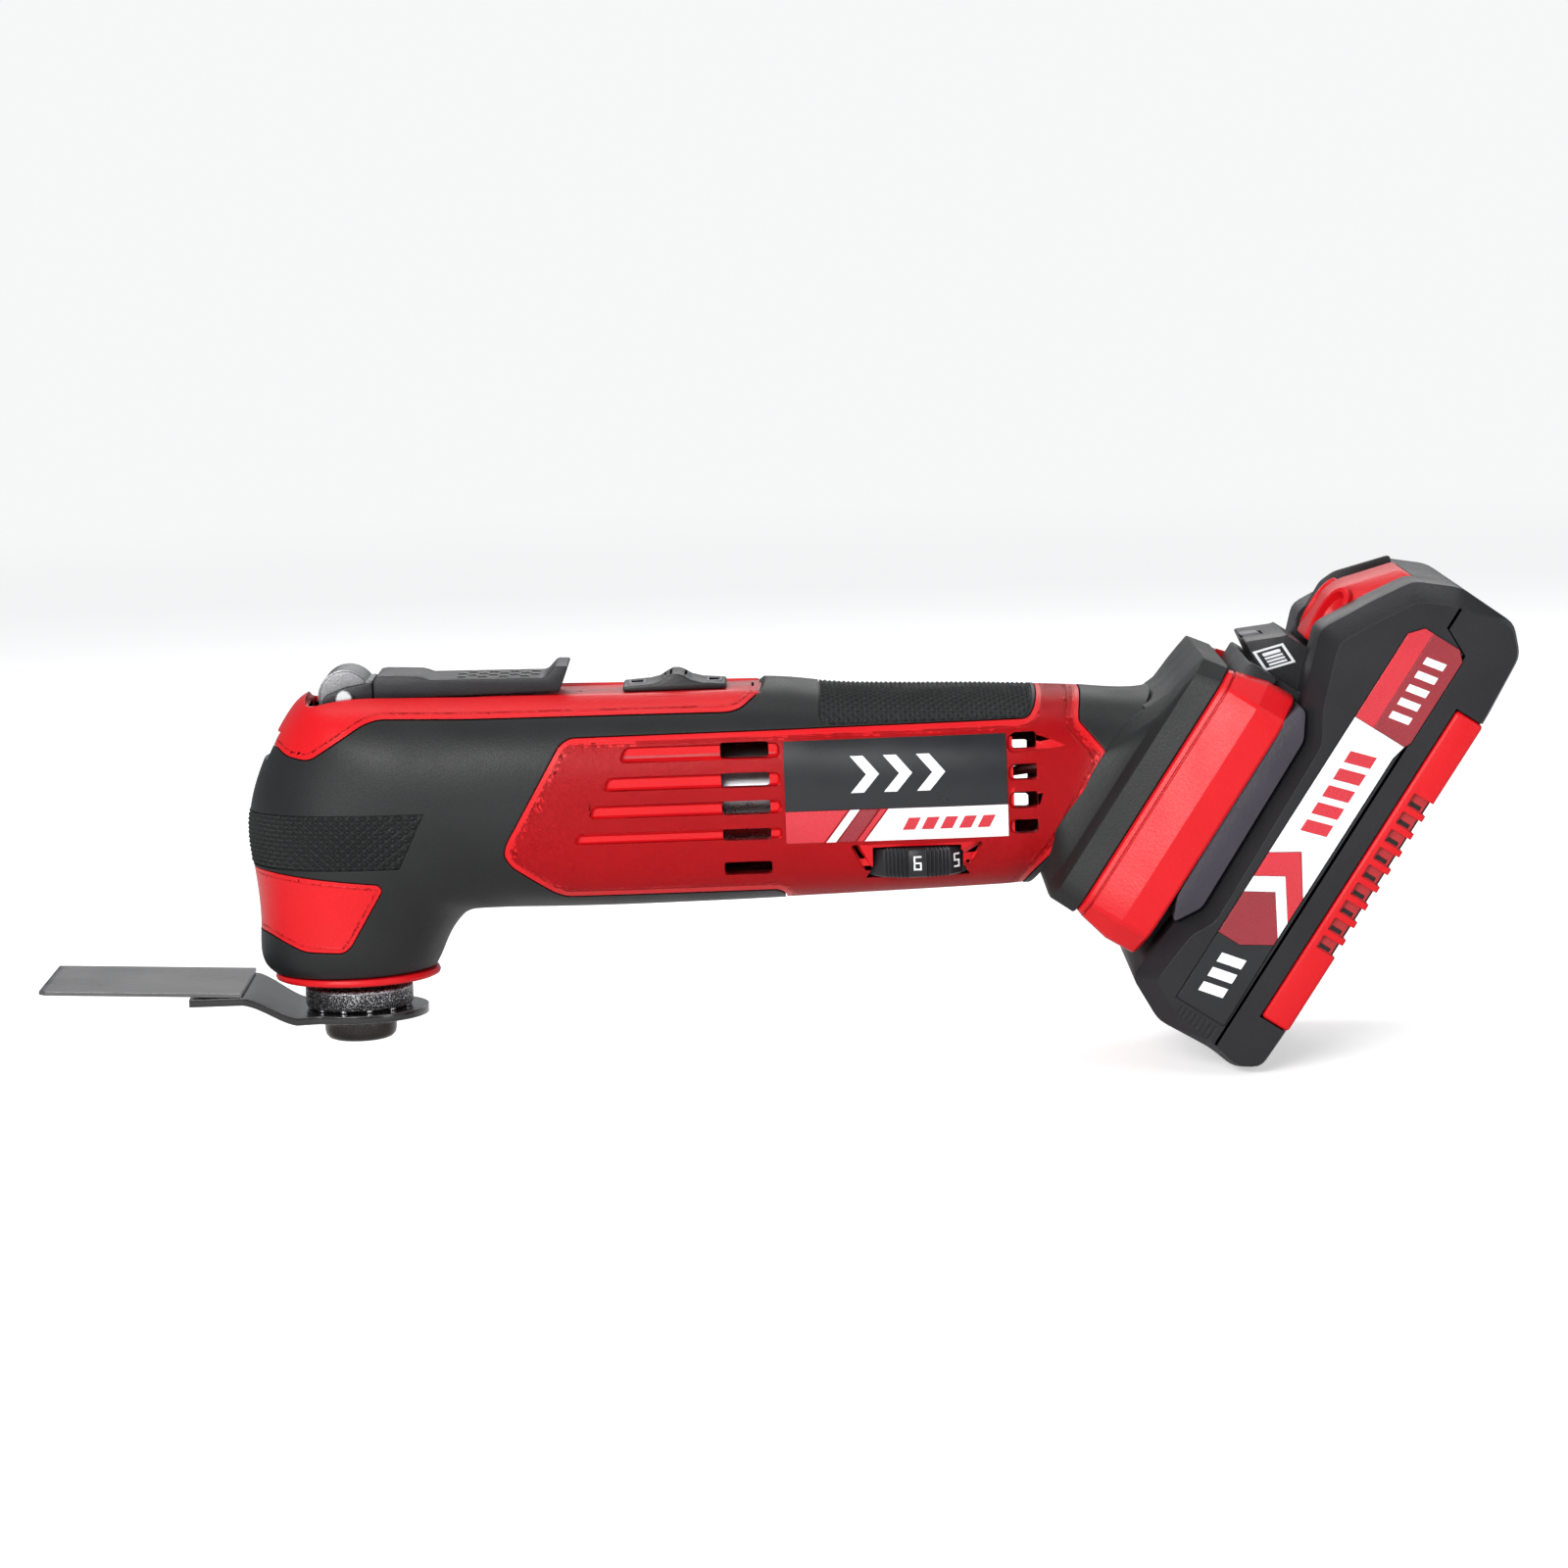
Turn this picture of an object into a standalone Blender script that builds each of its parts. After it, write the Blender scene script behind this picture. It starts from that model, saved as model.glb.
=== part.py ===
"""Cordless oscillating multi tool, modelled as the pieces it comes apart into.

Frame: origin on the spindle axis at the outer face of the clamp bolt's head, +Z up along the
spindle, +X towards the battery, -Y to the tool's left side. Every height below is measured from
the flange face that the saw blade is clamped to, and the empty tool_datum lifts the whole tool
by the bolt head's drop. Lengths are millimetres; MM turns them into metres.
"""
import math

import bmesh
import bpy
from mathutils import Matrix, Vector

MM = 0.001
GAP = 0.3                      # clearance left between neighbouring pieces
SEAM = 0.15                    # each housing half stops this far from the middle plane
CUT = 60.0                     # how far a cutter reaches past the shell it goes through

BOLT_DROP = 7.8                # how far the clamp bolt's head hangs under the flange face

# Driving dimensions of the housing
WALL = 2.1                     # red plastic under the soft skin
SKIN = 1.3                     # soft black skin
INNER = SKIN + 0.3 + WALL      # from the outer surface to the cavity
DECK_FLOOR = 72.2              # flat pocket on top that the lever and switch lie in
DECK_HALF = 13.6

# Battery slope: "along" runs up the battery, "away" runs from the tool into it
TILT = math.radians(56.2)
ALONG = Vector((math.cos(TILT), 0.0, math.sin(TILT)))
AWAY = Vector((math.sin(TILT), 0.0, -math.cos(TILT)))

# Drive train
SHAFT_Z = 47.5                 # height of the motor axis
MOTOR_R = 18.0
MOTOR_FRONT = 62.0
MOTOR_BACK = 112.3
THROW = 0.8                    # how far the eccentric is off the motor axis
FORK_SLOT = 10.0               # half the fork's slot
SPINDLE_R = 5.5
BOLT_R = 3.2
FLANGE_R = 12.65

# Clamp lever
LEVER_AXIS = Vector((0.4, 0.0, 73.7))
CAM_R = 6.4
PIN_HALF = 14.6

# Speed dial
DIAL_CENTRE = Vector((131.8, -14.5, 32.8))
DIAL_R = 13.0
DIAL_HALF = 3.4

# Battery cells
CELL_R = 9.0
CELL_HALF = 32.5
CELL_PITCH = 21.0
CELL_FIRST = 118.0
CELL_AWAY = 167.5

# Housing sections from the head's lower edge, round the elbow and back to the battery foot.
# Each is (front or top point, back or bottom point, half width, squareness).
SECTIONS = [
    ((-20.0, 9.2), (18.9, 9.6), 19.4, 2.0),
    ((-22.0, 11.2), (20.0, 11.8), 21.0, 2.0),
    ((-22.6, 14.5), (21.3, 14.8), 21.9, 2.0),
    ((-22.2, 20.0), (22.9, 17.6), 22.2, 2.0),
    ((-22.6, 28.0), (24.6, 19.9), 22.8, 2.0),
    ((-23.4, 36.0), (26.4, 21.7), 23.6, 2.05),
    ((-24.2, 43.5), (28.6, 22.4), 24.4, 2.1),
    ((-22.9, 51.0), (31.0, 22.5), 25.0, 2.15),
    ((-20.4, 58.0), (33.5, 22.5), 25.4, 2.2),
    ((-17.2, 64.5), (36.0, 22.5), 25.7, 2.25),
    ((-14.0, 69.8), (38.5, 22.5), 26.0, 2.3),
    ((-10.5, 74.2), (41.0, 22.5), 26.2, 2.4),
    ((-2.0, 76.0), (44.0, 22.5), 26.5, 2.5),
    ((12.0, 75.6), (48.0, 22.5), 26.8, 2.6),
    ((30.0, 75.0), (55.0, 22.5), 27.0, 2.7),
    ((50.0, 74.6), (65.0, 22.5), 27.0, 2.75),
    ((72.0, 74.2), (78.0, 22.6), 27.0, 2.75),
    ((94.0, 74.0), (94.0, 22.8), 27.0, 2.75),
    ((104.0, 73.8), (104.0, 23.0), 27.0, 2.75),
    ((113.0, 72.3), (113.0, 23.2), 27.0, 2.75),
    ((132.0, 71.4), (132.0, 23.6), 27.0, 2.7),
    ((150.0, 70.8), (148.0, 24.0), 26.8, 2.65),
    ((162.0, 70.2), (153.0, 24.1), 26.2, 2.6),
    ((171.0, 69.7), (156.0, 24.2), 25.0, 2.5),
    ((181.0, 69.5), (158.5, 24.2), 24.6, 2.5),
    ((188.0, 69.8), (160.0, 24.3), 26.0, 2.6),
    ((193.0, 72.6), (161.2, 24.6), 29.0, 2.8),
]
AROUND = 10                    # steps round half a section

# Outlines of the red areas seen from the side
SIDE_PANEL = [
    (52.7, 64.0), (50.8, 62.9), (37.2, 40.2), (36.6, 37.8), (38.2, 34.7), (48.0, 27.6),
    (50.0, 26.6), (99.6, 26.5), (101.5, 25.0), (101.5, 12.0), (150.0, 12.0), (157.9, 27.7),
    (165.3, 35.8), (177.1, 55.5), (170.3, 63.5), (170.3, 65.1), (171.7, 71.3), (171.7, 84.0),
    (161.3, 84.0), (161.3, 71.4), (160.4, 68.1), (158.7, 64.4),
]
TOP_CAP = [
    (-34.0, 63.4), (-16.1, 63.2), (-13.3, 61.2), (-7.8, 60.3), (-3.9, 62.8), (5.0, 68.4),
    (8.6, 69.5), (29.9, 68.9), (89.6, 68.5), (91.3, 69.0), (97.3, 72.8), (98.5, 74.8),
    (98.5, 90.0), (-34.0, 90.0),
]
NOSE_PANEL = [
    (-34.0, 34.5), (-34.0, 19.8), (-19.8, 19.8), (-9.8, 15.9), (-1.5, 15.6), (0.4, 17.2),
    (8.1, 30.4), (8.1, 31.4),
]

# Side vents, as (left, right, top, bottom)
FRONT_VENTS = [
    (87.3, 98.4, 62.0, 58.3), (87.3, 98.4, 55.1, 51.7), (87.3, 98.4, 48.6, 45.4),
    (87.3, 98.4, 42.1, 39.4), (87.3, 98.4, 34.2, 31.0),
]
REAR_VENTS = [
    (154.5, 160.0, 61.9, 58.0), (154.5, 160.0, 54.8, 51.1), (154.5, 160.0, 48.4, 44.6),
    (154.5, 160.0, 41.9, 38.6),
]

# Battery outlines in its own (along, away) directions
CASE_TOOL_SIDE = [
    (100.3, 170.3), (99.3, 158.0), (99.7, 153.7), (103.5, 147.0), (106.4, 146.2), (121.9, 148.1),
    (126.9, 151.2), (159.8, 150.0), (171.7, 149.9), (177.8, 146.2), (186.0, 143.4), (195.0, 140.1),
    (207.0, 146.6), (215.7, 152.1), (220.3, 162.5), (219.8, 170.3),
]
CASE_FAR_SIDE = [
    (100.0, 170.9), (219.8, 170.9), (218.8, 177.5), (213.6, 183.0), (198.0, 185.6),
    (112.8, 185.6), (102.5, 185.0), (99.2, 179.0),
]
LATCH = [(191.2, 139.3), (201.4, 138.2), (207.0, 140.7), (217.5, 150.3), (213.0, 155.0), (193.0, 145.0)]
FOOT = [
    (109.0, 130.0), (109.0, 142.0), (111.6, 144.5), (175.9, 144.5), (178.6, 141.5), (178.0, 130.5),
    (176.0, 127.9), (112.6, 127.9),
]
COLLAR = [(110.5, 118.5), (109.0, 121.0), (110.5, 128.1), (177.0, 128.1), (177.2, 121.5), (172.0, 118.5)]


def reset_scene():
    for item in list(bpy.data.objects):
        bpy.data.objects.remove(item, do_unlink=True)


def new_collection(name):
    collection = bpy.data.collections.new(name)
    bpy.context.scene.collection.children.link(collection)
    return collection


reset_scene()
PARTS = new_collection("oscillating_multi_tool")
CUTTERS = new_collection("cutters")
DATUM = bpy.data.objects.new("tool_datum", None)
DATUM.location = (0.0, 0.0, BOLT_DROP * MM)
PARTS.objects.link(DATUM)


def make_material(name, colour, roughness, metallic=0.0):
    material = bpy.data.materials.new(name)
    material.use_nodes = True
    shader = material.node_tree.nodes["Principled BSDF"]
    shader.inputs["Base Color"].default_value = (*colour, 1.0)
    shader.inputs["Roughness"].default_value = roughness
    shader.inputs["Metallic"].default_value = metallic
    return material


RED = make_material("red_plastic", (0.55, 0.01, 0.012), 0.4)
BLACK = make_material("black_plastic", (0.02, 0.021, 0.022), 0.5)
RUBBER = make_material("black_rubber", (0.016, 0.017, 0.018), 0.7)
GREY = make_material("grey_plastic", (0.09, 0.09, 0.1), 0.5)
STEEL = make_material("steel", (0.5, 0.5, 0.5), 0.3, 1.0)
DARK_STEEL = make_material("dark_steel", (0.08, 0.08, 0.08), 0.4, 1.0)
ALLOY = make_material("cast_alloy", (0.6, 0.6, 0.61), 0.5, 1.0)
COPPER = make_material("copper", (0.7, 0.3, 0.15), 0.35, 1.0)
BRASS = make_material("brass", (0.7, 0.5, 0.2), 0.35, 1.0)
BOARD = make_material("circuit_board", (0.02, 0.12, 0.05), 0.5)
LENS = make_material("clear_lens", (0.8, 0.85, 0.9), 0.1)
WRAP = make_material("cell_wrap", (0.05, 0.25, 0.45), 0.4)


def finish(item, material, collection):
    item.data.materials.clear()
    item.data.materials.append(material)
    item.parent = DATUM
    collection.objects.link(item)
    if collection == CUTTERS:
        item.hide_render = True
        item.display_type = 'WIRE'
    return item


def object_from_bmesh(name, shape, material, collection):
    bmesh.ops.recalc_face_normals(shape, faces=shape.faces)
    mesh = bpy.data.meshes.new(name)
    shape.to_mesh(mesh)
    shape.free()
    return finish(bpy.data.objects.new(name, mesh), material, collection)


def box(name, low, high, material, collection=PARTS):
    low = Vector(low) * MM
    high = Vector(high) * MM
    shape = bmesh.new()
    bmesh.ops.create_cube(shape, size=1.0)
    for vert in shape.verts:
        vert.co = Vector([vert.co[i] * (high[i] - low[i]) for i in range(3)])
    item = object_from_bmesh(name, shape, material, collection)
    item.location = (low + high) / 2
    return item


def prism(name, outline, y_low, y_high, material, collection=PARTS, place=None):
    """An outline extruded along Y. place turns an outline point into (x, z)."""
    shape = bmesh.new()
    corners = []
    for point in outline:
        x, z = place(point) if place else point
        corners.append(shape.verts.new((x * MM, y_low * MM, z * MM)))
    face = shape.faces.new(corners)
    grown = bmesh.ops.extrude_face_region(shape, geom=[face])["geom"]
    moved = [element for element in grown if isinstance(element, bmesh.types.BMVert)]
    bmesh.ops.translate(shape, verts=moved, vec=(0.0, (y_high - y_low) * MM, 0.0))
    return object_from_bmesh(name, shape, material, collection)


def battery_place(point):
    along, away = point
    place = ALONG * along + AWAY * away
    return place.x, place.z


def battery_point(along, y, away):
    place = ALONG * along + AWAY * away
    return Vector((place.x, y, place.z))


def battery_prism(name, outline, y_low, y_high, material, collection=PARTS):
    return prism(name, outline, y_low, y_high, material, collection, battery_place)


def battery_box(name, low, high, material, collection=PARTS):
    """low and high are (along, y, away)."""
    outline = [(low[0], low[2]), (high[0], low[2]), (high[0], high[2]), (low[0], high[2])]
    return battery_prism(name, outline, low[1], high[1], material, collection)


def turned(name, profile, place, axis, material, steps=20, collection=PARTS, closed=False):
    """A profile of (radius, height) points turned round an axis through place."""
    shape = bmesh.new()
    points = [shape.verts.new((radius * MM, 0.0, height * MM)) for radius, height in profile]
    for first, second in zip(points, points[1:]):
        shape.edges.new((first, second))
    if closed:
        shape.edges.new((points[-1], points[0]))
    mesh = bpy.data.meshes.new(name)
    shape.to_mesh(mesh)
    shape.free()
    item = finish(bpy.data.objects.new(name, mesh), material, collection)
    item.location = Vector(place) * MM
    item.rotation_euler = Vector((0.0, 0.0, 1.0)).rotation_difference(Vector(axis)).to_euler()
    screw = item.modifiers.new("turn", 'SCREW')
    screw.steps = steps
    screw.render_steps = steps
    screw.use_merge_vertices = True
    screw.merge_threshold = 0.00001
    screw.use_smooth_shade = False
    return item


def ring(name, inner, outer, low, high, place, axis, material, steps=20, collection=PARTS):
    profile = [(outer, high), (outer, low), (inner, low), (inner, high)]
    return turned(name, profile, place, axis, material, steps, collection, closed=True)


def rod(name, radius, start, end, material, segments=20, collection=PARTS):
    start = Vector(start) * MM
    end = Vector(end) * MM
    shape = bmesh.new()
    bmesh.ops.create_cone(shape, cap_ends=True, segments=segments, radius1=radius * MM,
                          radius2=radius * MM, depth=(end - start).length)
    item = object_from_bmesh(name, shape, material, collection)
    item.location = (start + end) / 2
    item.rotation_euler = Vector((0.0, 0.0, 1.0)).rotation_difference(end - start).to_euler()
    return item


def boolean(target, other, operation):
    modifier = target.modifiers.new(operation.lower(), 'BOOLEAN')
    modifier.operation = operation
    modifier.object = other
    modifier.solver = 'EXACT'
    return target


def cut(target, *others):
    for other in others:
        boolean(target, other, 'DIFFERENCE')
    return target


def join(target, *others):
    for other in others:
        boolean(target, other, 'UNION')
    return target


def bevel(item, width, segments=2, angle=35.0):
    modifier = item.modifiers.new("round", 'BEVEL')
    modifier.width = width * MM
    modifier.segments = segments
    modifier.limit_method = 'ANGLE'
    modifier.angle_limit = math.radians(angle)
    return item


def signed_power(value, power):
    return math.copysign(abs(value) ** power, value)


def section_point(section, angle, inset, seam=SEAM):
    """A point on a housing section; angle 0 is its front or top, pi its back or bottom."""
    (front_x, front_z), (back_x, back_z), half_width, squareness = section
    centre = Vector(((front_x + back_x) / 2, 0.0, (front_z + back_z) / 2))
    reach = Vector(((front_x - back_x) / 2, 0.0, (front_z - back_z) / 2))
    reach = reach * (1.0 - inset / reach.length)
    power = 2.0 / squareness
    point = centre + reach * signed_power(math.cos(angle), power)
    width = (half_width - inset) * abs(math.sin(angle)) ** power
    return Vector((point.x, max(width, seam), point.z))


def half_shell(name, side, outer_inset, inner_inset, material, collection=PARTS, first=0, seam=SEAM):
    """One half of the housing's wall, between two depths under the outer surface."""
    sections = SECTIONS[first:]
    shape = bmesh.new()
    layers = []
    for inset in (outer_inset, inner_inset):
        rows = []
        for section in sections:
            row = []
            for step in range(AROUND + 1):
                point = section_point(section, math.pi * step / AROUND, inset, seam)
                row.append(shape.verts.new((point.x * MM, side * point.y * MM, point.z * MM)))
            rows.append(row)
        layers.append(rows)
    outer, inner = layers
    for rows in layers:
        for low, high in zip(rows, rows[1:]):
            for step in range(AROUND):
                shape.faces.new((low[step], low[step + 1], high[step + 1], high[step]))
    for low, high, low_in, high_in in zip(outer, outer[1:], inner, inner[1:]):
        for step in (0, AROUND):
            shape.faces.new((low[step], high[step], high_in[step], low_in[step]))
    for row, row_in in ((outer[0], inner[0]), (outer[-1], inner[-1])):
        for step in range(AROUND):
            shape.faces.new((row[step], row[step + 1], row_in[step + 1], row_in[step]))
    bmesh.ops.triangulate(shape, faces=shape.faces)
    return object_from_bmesh(name, shape, material, collection)


def grown(outline, margin):
    """The outline moved outwards by margin, corner by corner."""
    count = len(outline)
    area = sum(outline[i - 1][0] * outline[i][1] - outline[i][0] * outline[i - 1][1] for i in range(count))
    turn = 1.0 if area > 0 else -1.0
    result = []
    for index in range(count):
        before = Vector(outline[index - 1])
        here = Vector(outline[index])
        after = Vector(outline[(index + 1) % count])
        first = (here - before).normalized()
        second = (after - here).normalized()
        normal_a = Vector((first.y, -first.x)) * turn
        normal_b = Vector((second.y, -second.x)) * turn
        middle = (normal_a + normal_b).normalized()
        result.append(tuple(here + middle * (margin / max(middle.dot(normal_a), 0.5))))
    return result


def side_range(side, near, far):
    return (near, far) if side > 0 else (-far, -near)


def deck_cutters(tag):
    """The pocket on top, the slot under the lever's cam and the switch slot."""
    pocket = [(-9.0, DECK_FLOOR), (98.7, DECK_FLOOR), (101.0, 90.0), (-9.0, 90.0)]
    return [
        prism("deck_" + tag, pocket, -DECK_HALF, DECK_HALF, RED, CUTTERS),
        box("cam_slot_" + tag, (-8.2, -10.8, 64.5), (9.0, 10.8, 90.0), RED, CUTTERS),
        rod("pin_seat_" + tag, 2.2, (LEVER_AXIS.x, -PIN_HALF - GAP, LEVER_AXIS.z),
            (LEVER_AXIS.x, PIN_HALF + GAP, LEVER_AXIS.z), RED, 16, CUTTERS),
        box("switch_slot_" + tag, (66.0, -3.4, 66.0), (88.0, 3.4, 90.0), RED, CUTTERS),
        box("lens_window_" + tag, (-40.0, -7.6, 59.6), (-11.0, 7.6, 66.0), RED, CUTTERS),
    ]


def vent_cutters(side, tag):
    cutters = []
    low, high = side_range(side, 15.0, CUT)
    for index, (left, right, top, bottom) in enumerate(FRONT_VENTS + REAR_VENTS):
        name = "vent_%s_%d" % (tag, index)
        cutters.append(box(name, (left, low, bottom), (right, high, top), RED, CUTTERS))
    return cutters


# Housing screws as (x, z, how far each boss reaches from the middle plane)
SCREWS = [
    (44.0, 29.4, 12.0), (44.0, 65.4, 16.5), (148.5, 60.0, 19.5), (149.0, 31.2, 13.0), (168.0, 60.0, 18.3),
]
BOSS_R = 3.6
SCREW_TIP_Y = -11.0
HEAD_R = 3.0
HEAD_HIGH = 2.2


def housing_half(side):
    tag = "right" if side > 0 else "left"
    near, far = side_range(side, SEAM, CUT)
    shell = half_shell(tag + "_housing", side, SKIN + GAP, INNER, RED)
    for label, outline in (("panel", SIDE_PANEL), ("cap", TOP_CAP), ("nose", NOSE_PANEL)):
        pad = half_shell("pad_%s_%s" % (label, tag), side, 0.1, INNER - 0.7, RED, CUTTERS,
                         seam=2.5 * SEAM)
        region = prism("pad_area_%s_%s" % (label, tag), grown(outline, -GAP / 2), near, far, RED, CUTTERS)
        boolean(pad, region, 'INTERSECT')
        join(shell, pad)
    low, high = side_range(side, SEAM, 33.5)
    join(shell, battery_prism("collar_" + tag, COLLAR, low, high, RED, CUTTERS))
    low, high = side_range(side, SEAM, 36.0)
    join(shell, battery_prism("foot_" + tag, FOOT, low, high, RED, CUTTERS))
    for index, (x, z, reach) in enumerate(SCREWS):
        boss = rod("boss_%s_%d" % (tag, index), BOSS_R, (x, side * SEAM, z), (x, side * reach, z), RED, 12, CUTTERS)
        hole = rod("screw_hole_%s_%d" % (tag, index), 1.7, (x, SCREW_TIP_Y - GAP, z), (x, CUT, z), RED, 12, CUTTERS)
        join(shell, boss)
        cut(shell, hole)
        if side > 0:
            cut(shell, screw_well("screw_well_%d" % index, index))
    cut(shell, battery_box("neck_passage_" + tag, (118.0, -19.0, 112.0), (164.0, 19.0, 133.0), RED, CUTTERS))
    cut(shell, battery_box("slide_channel_" + tag, (112.5, -26.0, 131.0), (200.0, 26.0, 139.6), RED, CUTTERS))
    cut(shell, battery_box("slide_mouth_" + tag, (112.5, -22.5, 139.0), (200.0, 22.5, 150.0), RED, CUTTERS))
    cut(shell, *deck_cutters(tag))
    cut(shell, *vent_cutters(side, tag))
    if side < 0:
        cut(shell, *dial_window())
    return shell


def screw_well(name, index):
    """The round well that a screw head sits in."""
    x, z, reach = SCREWS[index]
    return rod(name, HEAD_R + 0.7, (x, reach + 0.2, z), (x, CUT, z), RED, 12, CUTTERS)


def dial_window():
    x, y, z = DIAL_CENTRE
    half = DIAL_HALF + 0.4
    opening = box("dial_opening", (x - 10.2, -CUT, z - half), (x + 10.2, y, z + half), RED, CUTTERS)
    room = rod("dial_room", DIAL_R + 0.5, (x, y, z - half - 0.05), (x, y, z + half + 0.05), RED, 28, CUTTERS)
    return opening, room


def overmold_half(side):
    tag = "right" if side > 0 else "left"
    near, far = side_range(side, SEAM, CUT)
    near, far = near - 1.0, far + 1.0
    skin = half_shell(tag + "_overmold", side, 0.0, SKIN, RUBBER, PARTS)
    for label, outline in (("panel", SIDE_PANEL), ("cap", TOP_CAP), ("nose", NOSE_PANEL)):
        region = prism("skin_area_%s_%s" % (label, tag), grown(outline, GAP / 2), near, far, RED, CUTTERS)
        cut(skin, region)
    # everything behind the side panel belongs to the neck's own skin
    rear = [(150.0, 5.0), (240.0, 5.0), (240.0, 110.0), (165.0, 110.0), (165.0, 60.0), (150.0, 50.0)]
    cut(skin, prism("skin_rear_" + tag, rear, near, far, RED, CUTTERS))
    cut(skin, box("skin_window_" + tag, (-40.0, -7.6, 59.6), (-11.0, 7.6, 66.0), RED, CUTTERS))
    if side > 0:
        for index in (0, 1):
            cut(skin, screw_well("skin_well_%d" % index, index))
    return skin


def neck_overmold_half(side):
    tag = "right" if side > 0 else "left"
    near, far = side_range(side, SEAM, CUT)
    near, far = near - 1.0, far + 1.0
    skin = half_shell(tag + "_neck_overmold", side, 0.0, SKIN, RUBBER, PARTS, first=21)
    cut(skin, prism("neck_area_" + tag, grown(SIDE_PANEL, GAP / 2), near, far, RED, CUTTERS))
    cut(skin, prism("neck_top_" + tag, [(120.0, 60.0), (165.0, 60.0), (165.0, 90.0), (120.0, 90.0)],
                    near, far, RED, CUTTERS))
    cut(skin, battery_box("neck_end_" + tag, (90.0, near, 118.1), (200.0, far, 150.0), RED, CUTTERS))
    if side > 0:
        cut(skin, screw_well("neck_well", 4))
    return skin


def housing():
    for side in (-1, 1):
        housing_half(side)
        overmold_half(side)
        neck_overmold_half(side)
    ring("base_ring", 10.2, 18.9, 6.7, 8.8, (0, 0, 0), (0, 0, 1), RED, 32)
    lens = [(-18.2, 60.2), (-15.6, 65.4), (-12.6, 65.4), (-14.6, 60.2)]
    prism("work_light_lens", lens, -7.1, 7.1, LENS)
    rod("lever_pin", 2.0, (LEVER_AXIS.x, -PIN_HALF, LEVER_AXIS.z), (LEVER_AXIS.x, PIN_HALF, LEVER_AXIS.z), STEEL, 16)
    for index, (x, z, reach) in enumerate(SCREWS):
        seat = reach + GAP
        screw = rod("housing_screw_%d" % (index + 1), 1.4, (x, SCREW_TIP_Y, z), (x, seat + 1.0, z), DARK_STEEL, 10)
        join(screw, rod("screw_head_%d" % index, HEAD_R, (x, seat, z), (x, seat + HEAD_HIGH, z), DARK_STEEL,
                        16, CUTTERS))


def gear_case():
    """The alloy casting that holds the spindle bearings and the motor's front bearing."""
    steps = 20
    tower = [(0.0, 66.0), (9.8, 66.0), (9.8, 57.0), (14.0, 54.0), (16.2, 44.0), (16.2, 12.6), (0.0, 12.6)]
    case = turned("gear_case", tower, (0, 0, 0), (0, 0, 1), ALLOY, steps)
    nose = rod("bearing_boss", 13.4, (4.0, 0, SHAFT_Z), (48.4, 0, SHAFT_Z), ALLOY, 24, CUTTERS)
    cavity = rod("fork_room", 12.6, (0.0, 0, 26.0), (0.0, 0, 53.0), ALLOY, 24, CUTTERS)
    tunnel = rod("eccentric_room", 11.9, (0.0, 0, SHAFT_Z), (41.0, 0, SHAFT_Z), ALLOY, 24, CUTTERS)
    fork_way = box("fork_way", (0.0, -13.9, 40.5), (39.5, 13.9, 54.5), ALLOY, CUTTERS)
    seat = rod("bearing_seat", 8.15, (40.0, 0, SHAFT_Z), (46.6, 0, SHAFT_Z), ALLOY, 24, CUTTERS)
    shaft_way = rod("shaft_way", 5.0, (40.0, 0, SHAFT_Z), (60.0, 0, SHAFT_Z), ALLOY, 16, CUTTERS)
    low_seat = rod("low_seat", 11.15, (0, 0, 13.9), (0, 0, 30.0), ALLOY, 24, CUTTERS)
    low_way = rod("low_way", 9.0, (0, 0, 5.0), (0, 0, 30.0), ALLOY, 24, CUTTERS)
    high_seat = rod("high_seat", 8.65, (0, 0, 50.0), (0, 0, 63.6), ALLOY, 24, CUTTERS)
    high_way = rod("high_way", 6.6, (0, 0, 50.0), (0, 0, 80.0), ALLOY, 24, CUTTERS)
    cheek = box("case_cheeks", (0.0, -15.2, 39.0), (38.0, 15.2, 56.0), ALLOY, CUTTERS)
    join(case, nose, cheek)
    cut(case, cavity, tunnel, fork_way, seat, shaft_way, low_seat, low_way, high_seat, high_way)
    ring("lower_spindle_bearing", SPINDLE_R + 0.15, 11.0, 14.2, 21.2, (0, 0, 0), (0, 0, 1), STEEL)
    ring("upper_spindle_bearing", SPINDLE_R + 0.15, 8.5, 57.4, 63.3, (0, 0, 0), (0, 0, 1), STEEL)
    ring("front_motor_bearing", 2.65, 8.0, 41.3, 46.3, (0, 0, SHAFT_Z), (1, 0, 0), STEEL)


def spindle():
    profile = [
        (BOLT_R + 0.3, 64.6), (SPINDLE_R, 64.6), (SPINDLE_R, 13.2), (8.2, 12.6), (8.2, 5.6),
        (FLANGE_R - 0.8, 5.2), (FLANGE_R, 4.4), (FLANGE_R, 0.0), (BOLT_R + 0.3, 0.0),
    ]
    turned("spindle", profile, (0, 0, 0), (0, 0, 1), STEEL, 32, closed=True)
    fork = [(-8.5, 9.0), (-8.5, -9.0), (5.0, -12.6), (35.5, -12.6), (35.5, -FORK_SLOT), (14.0, -FORK_SLOT),
            (14.0, FORK_SLOT), (35.5, FORK_SLOT), (35.5, 12.6), (5.0, 12.6)]
    item = flat_plate("drive_fork", fork, 42.5, 52.5, STEEL)
    cut(item, rod("fork_bore", SPINDLE_R + 0.1, (0, 0, 30.0), (0, 0, 70.0), STEEL, 32, CUTTERS))


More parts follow.
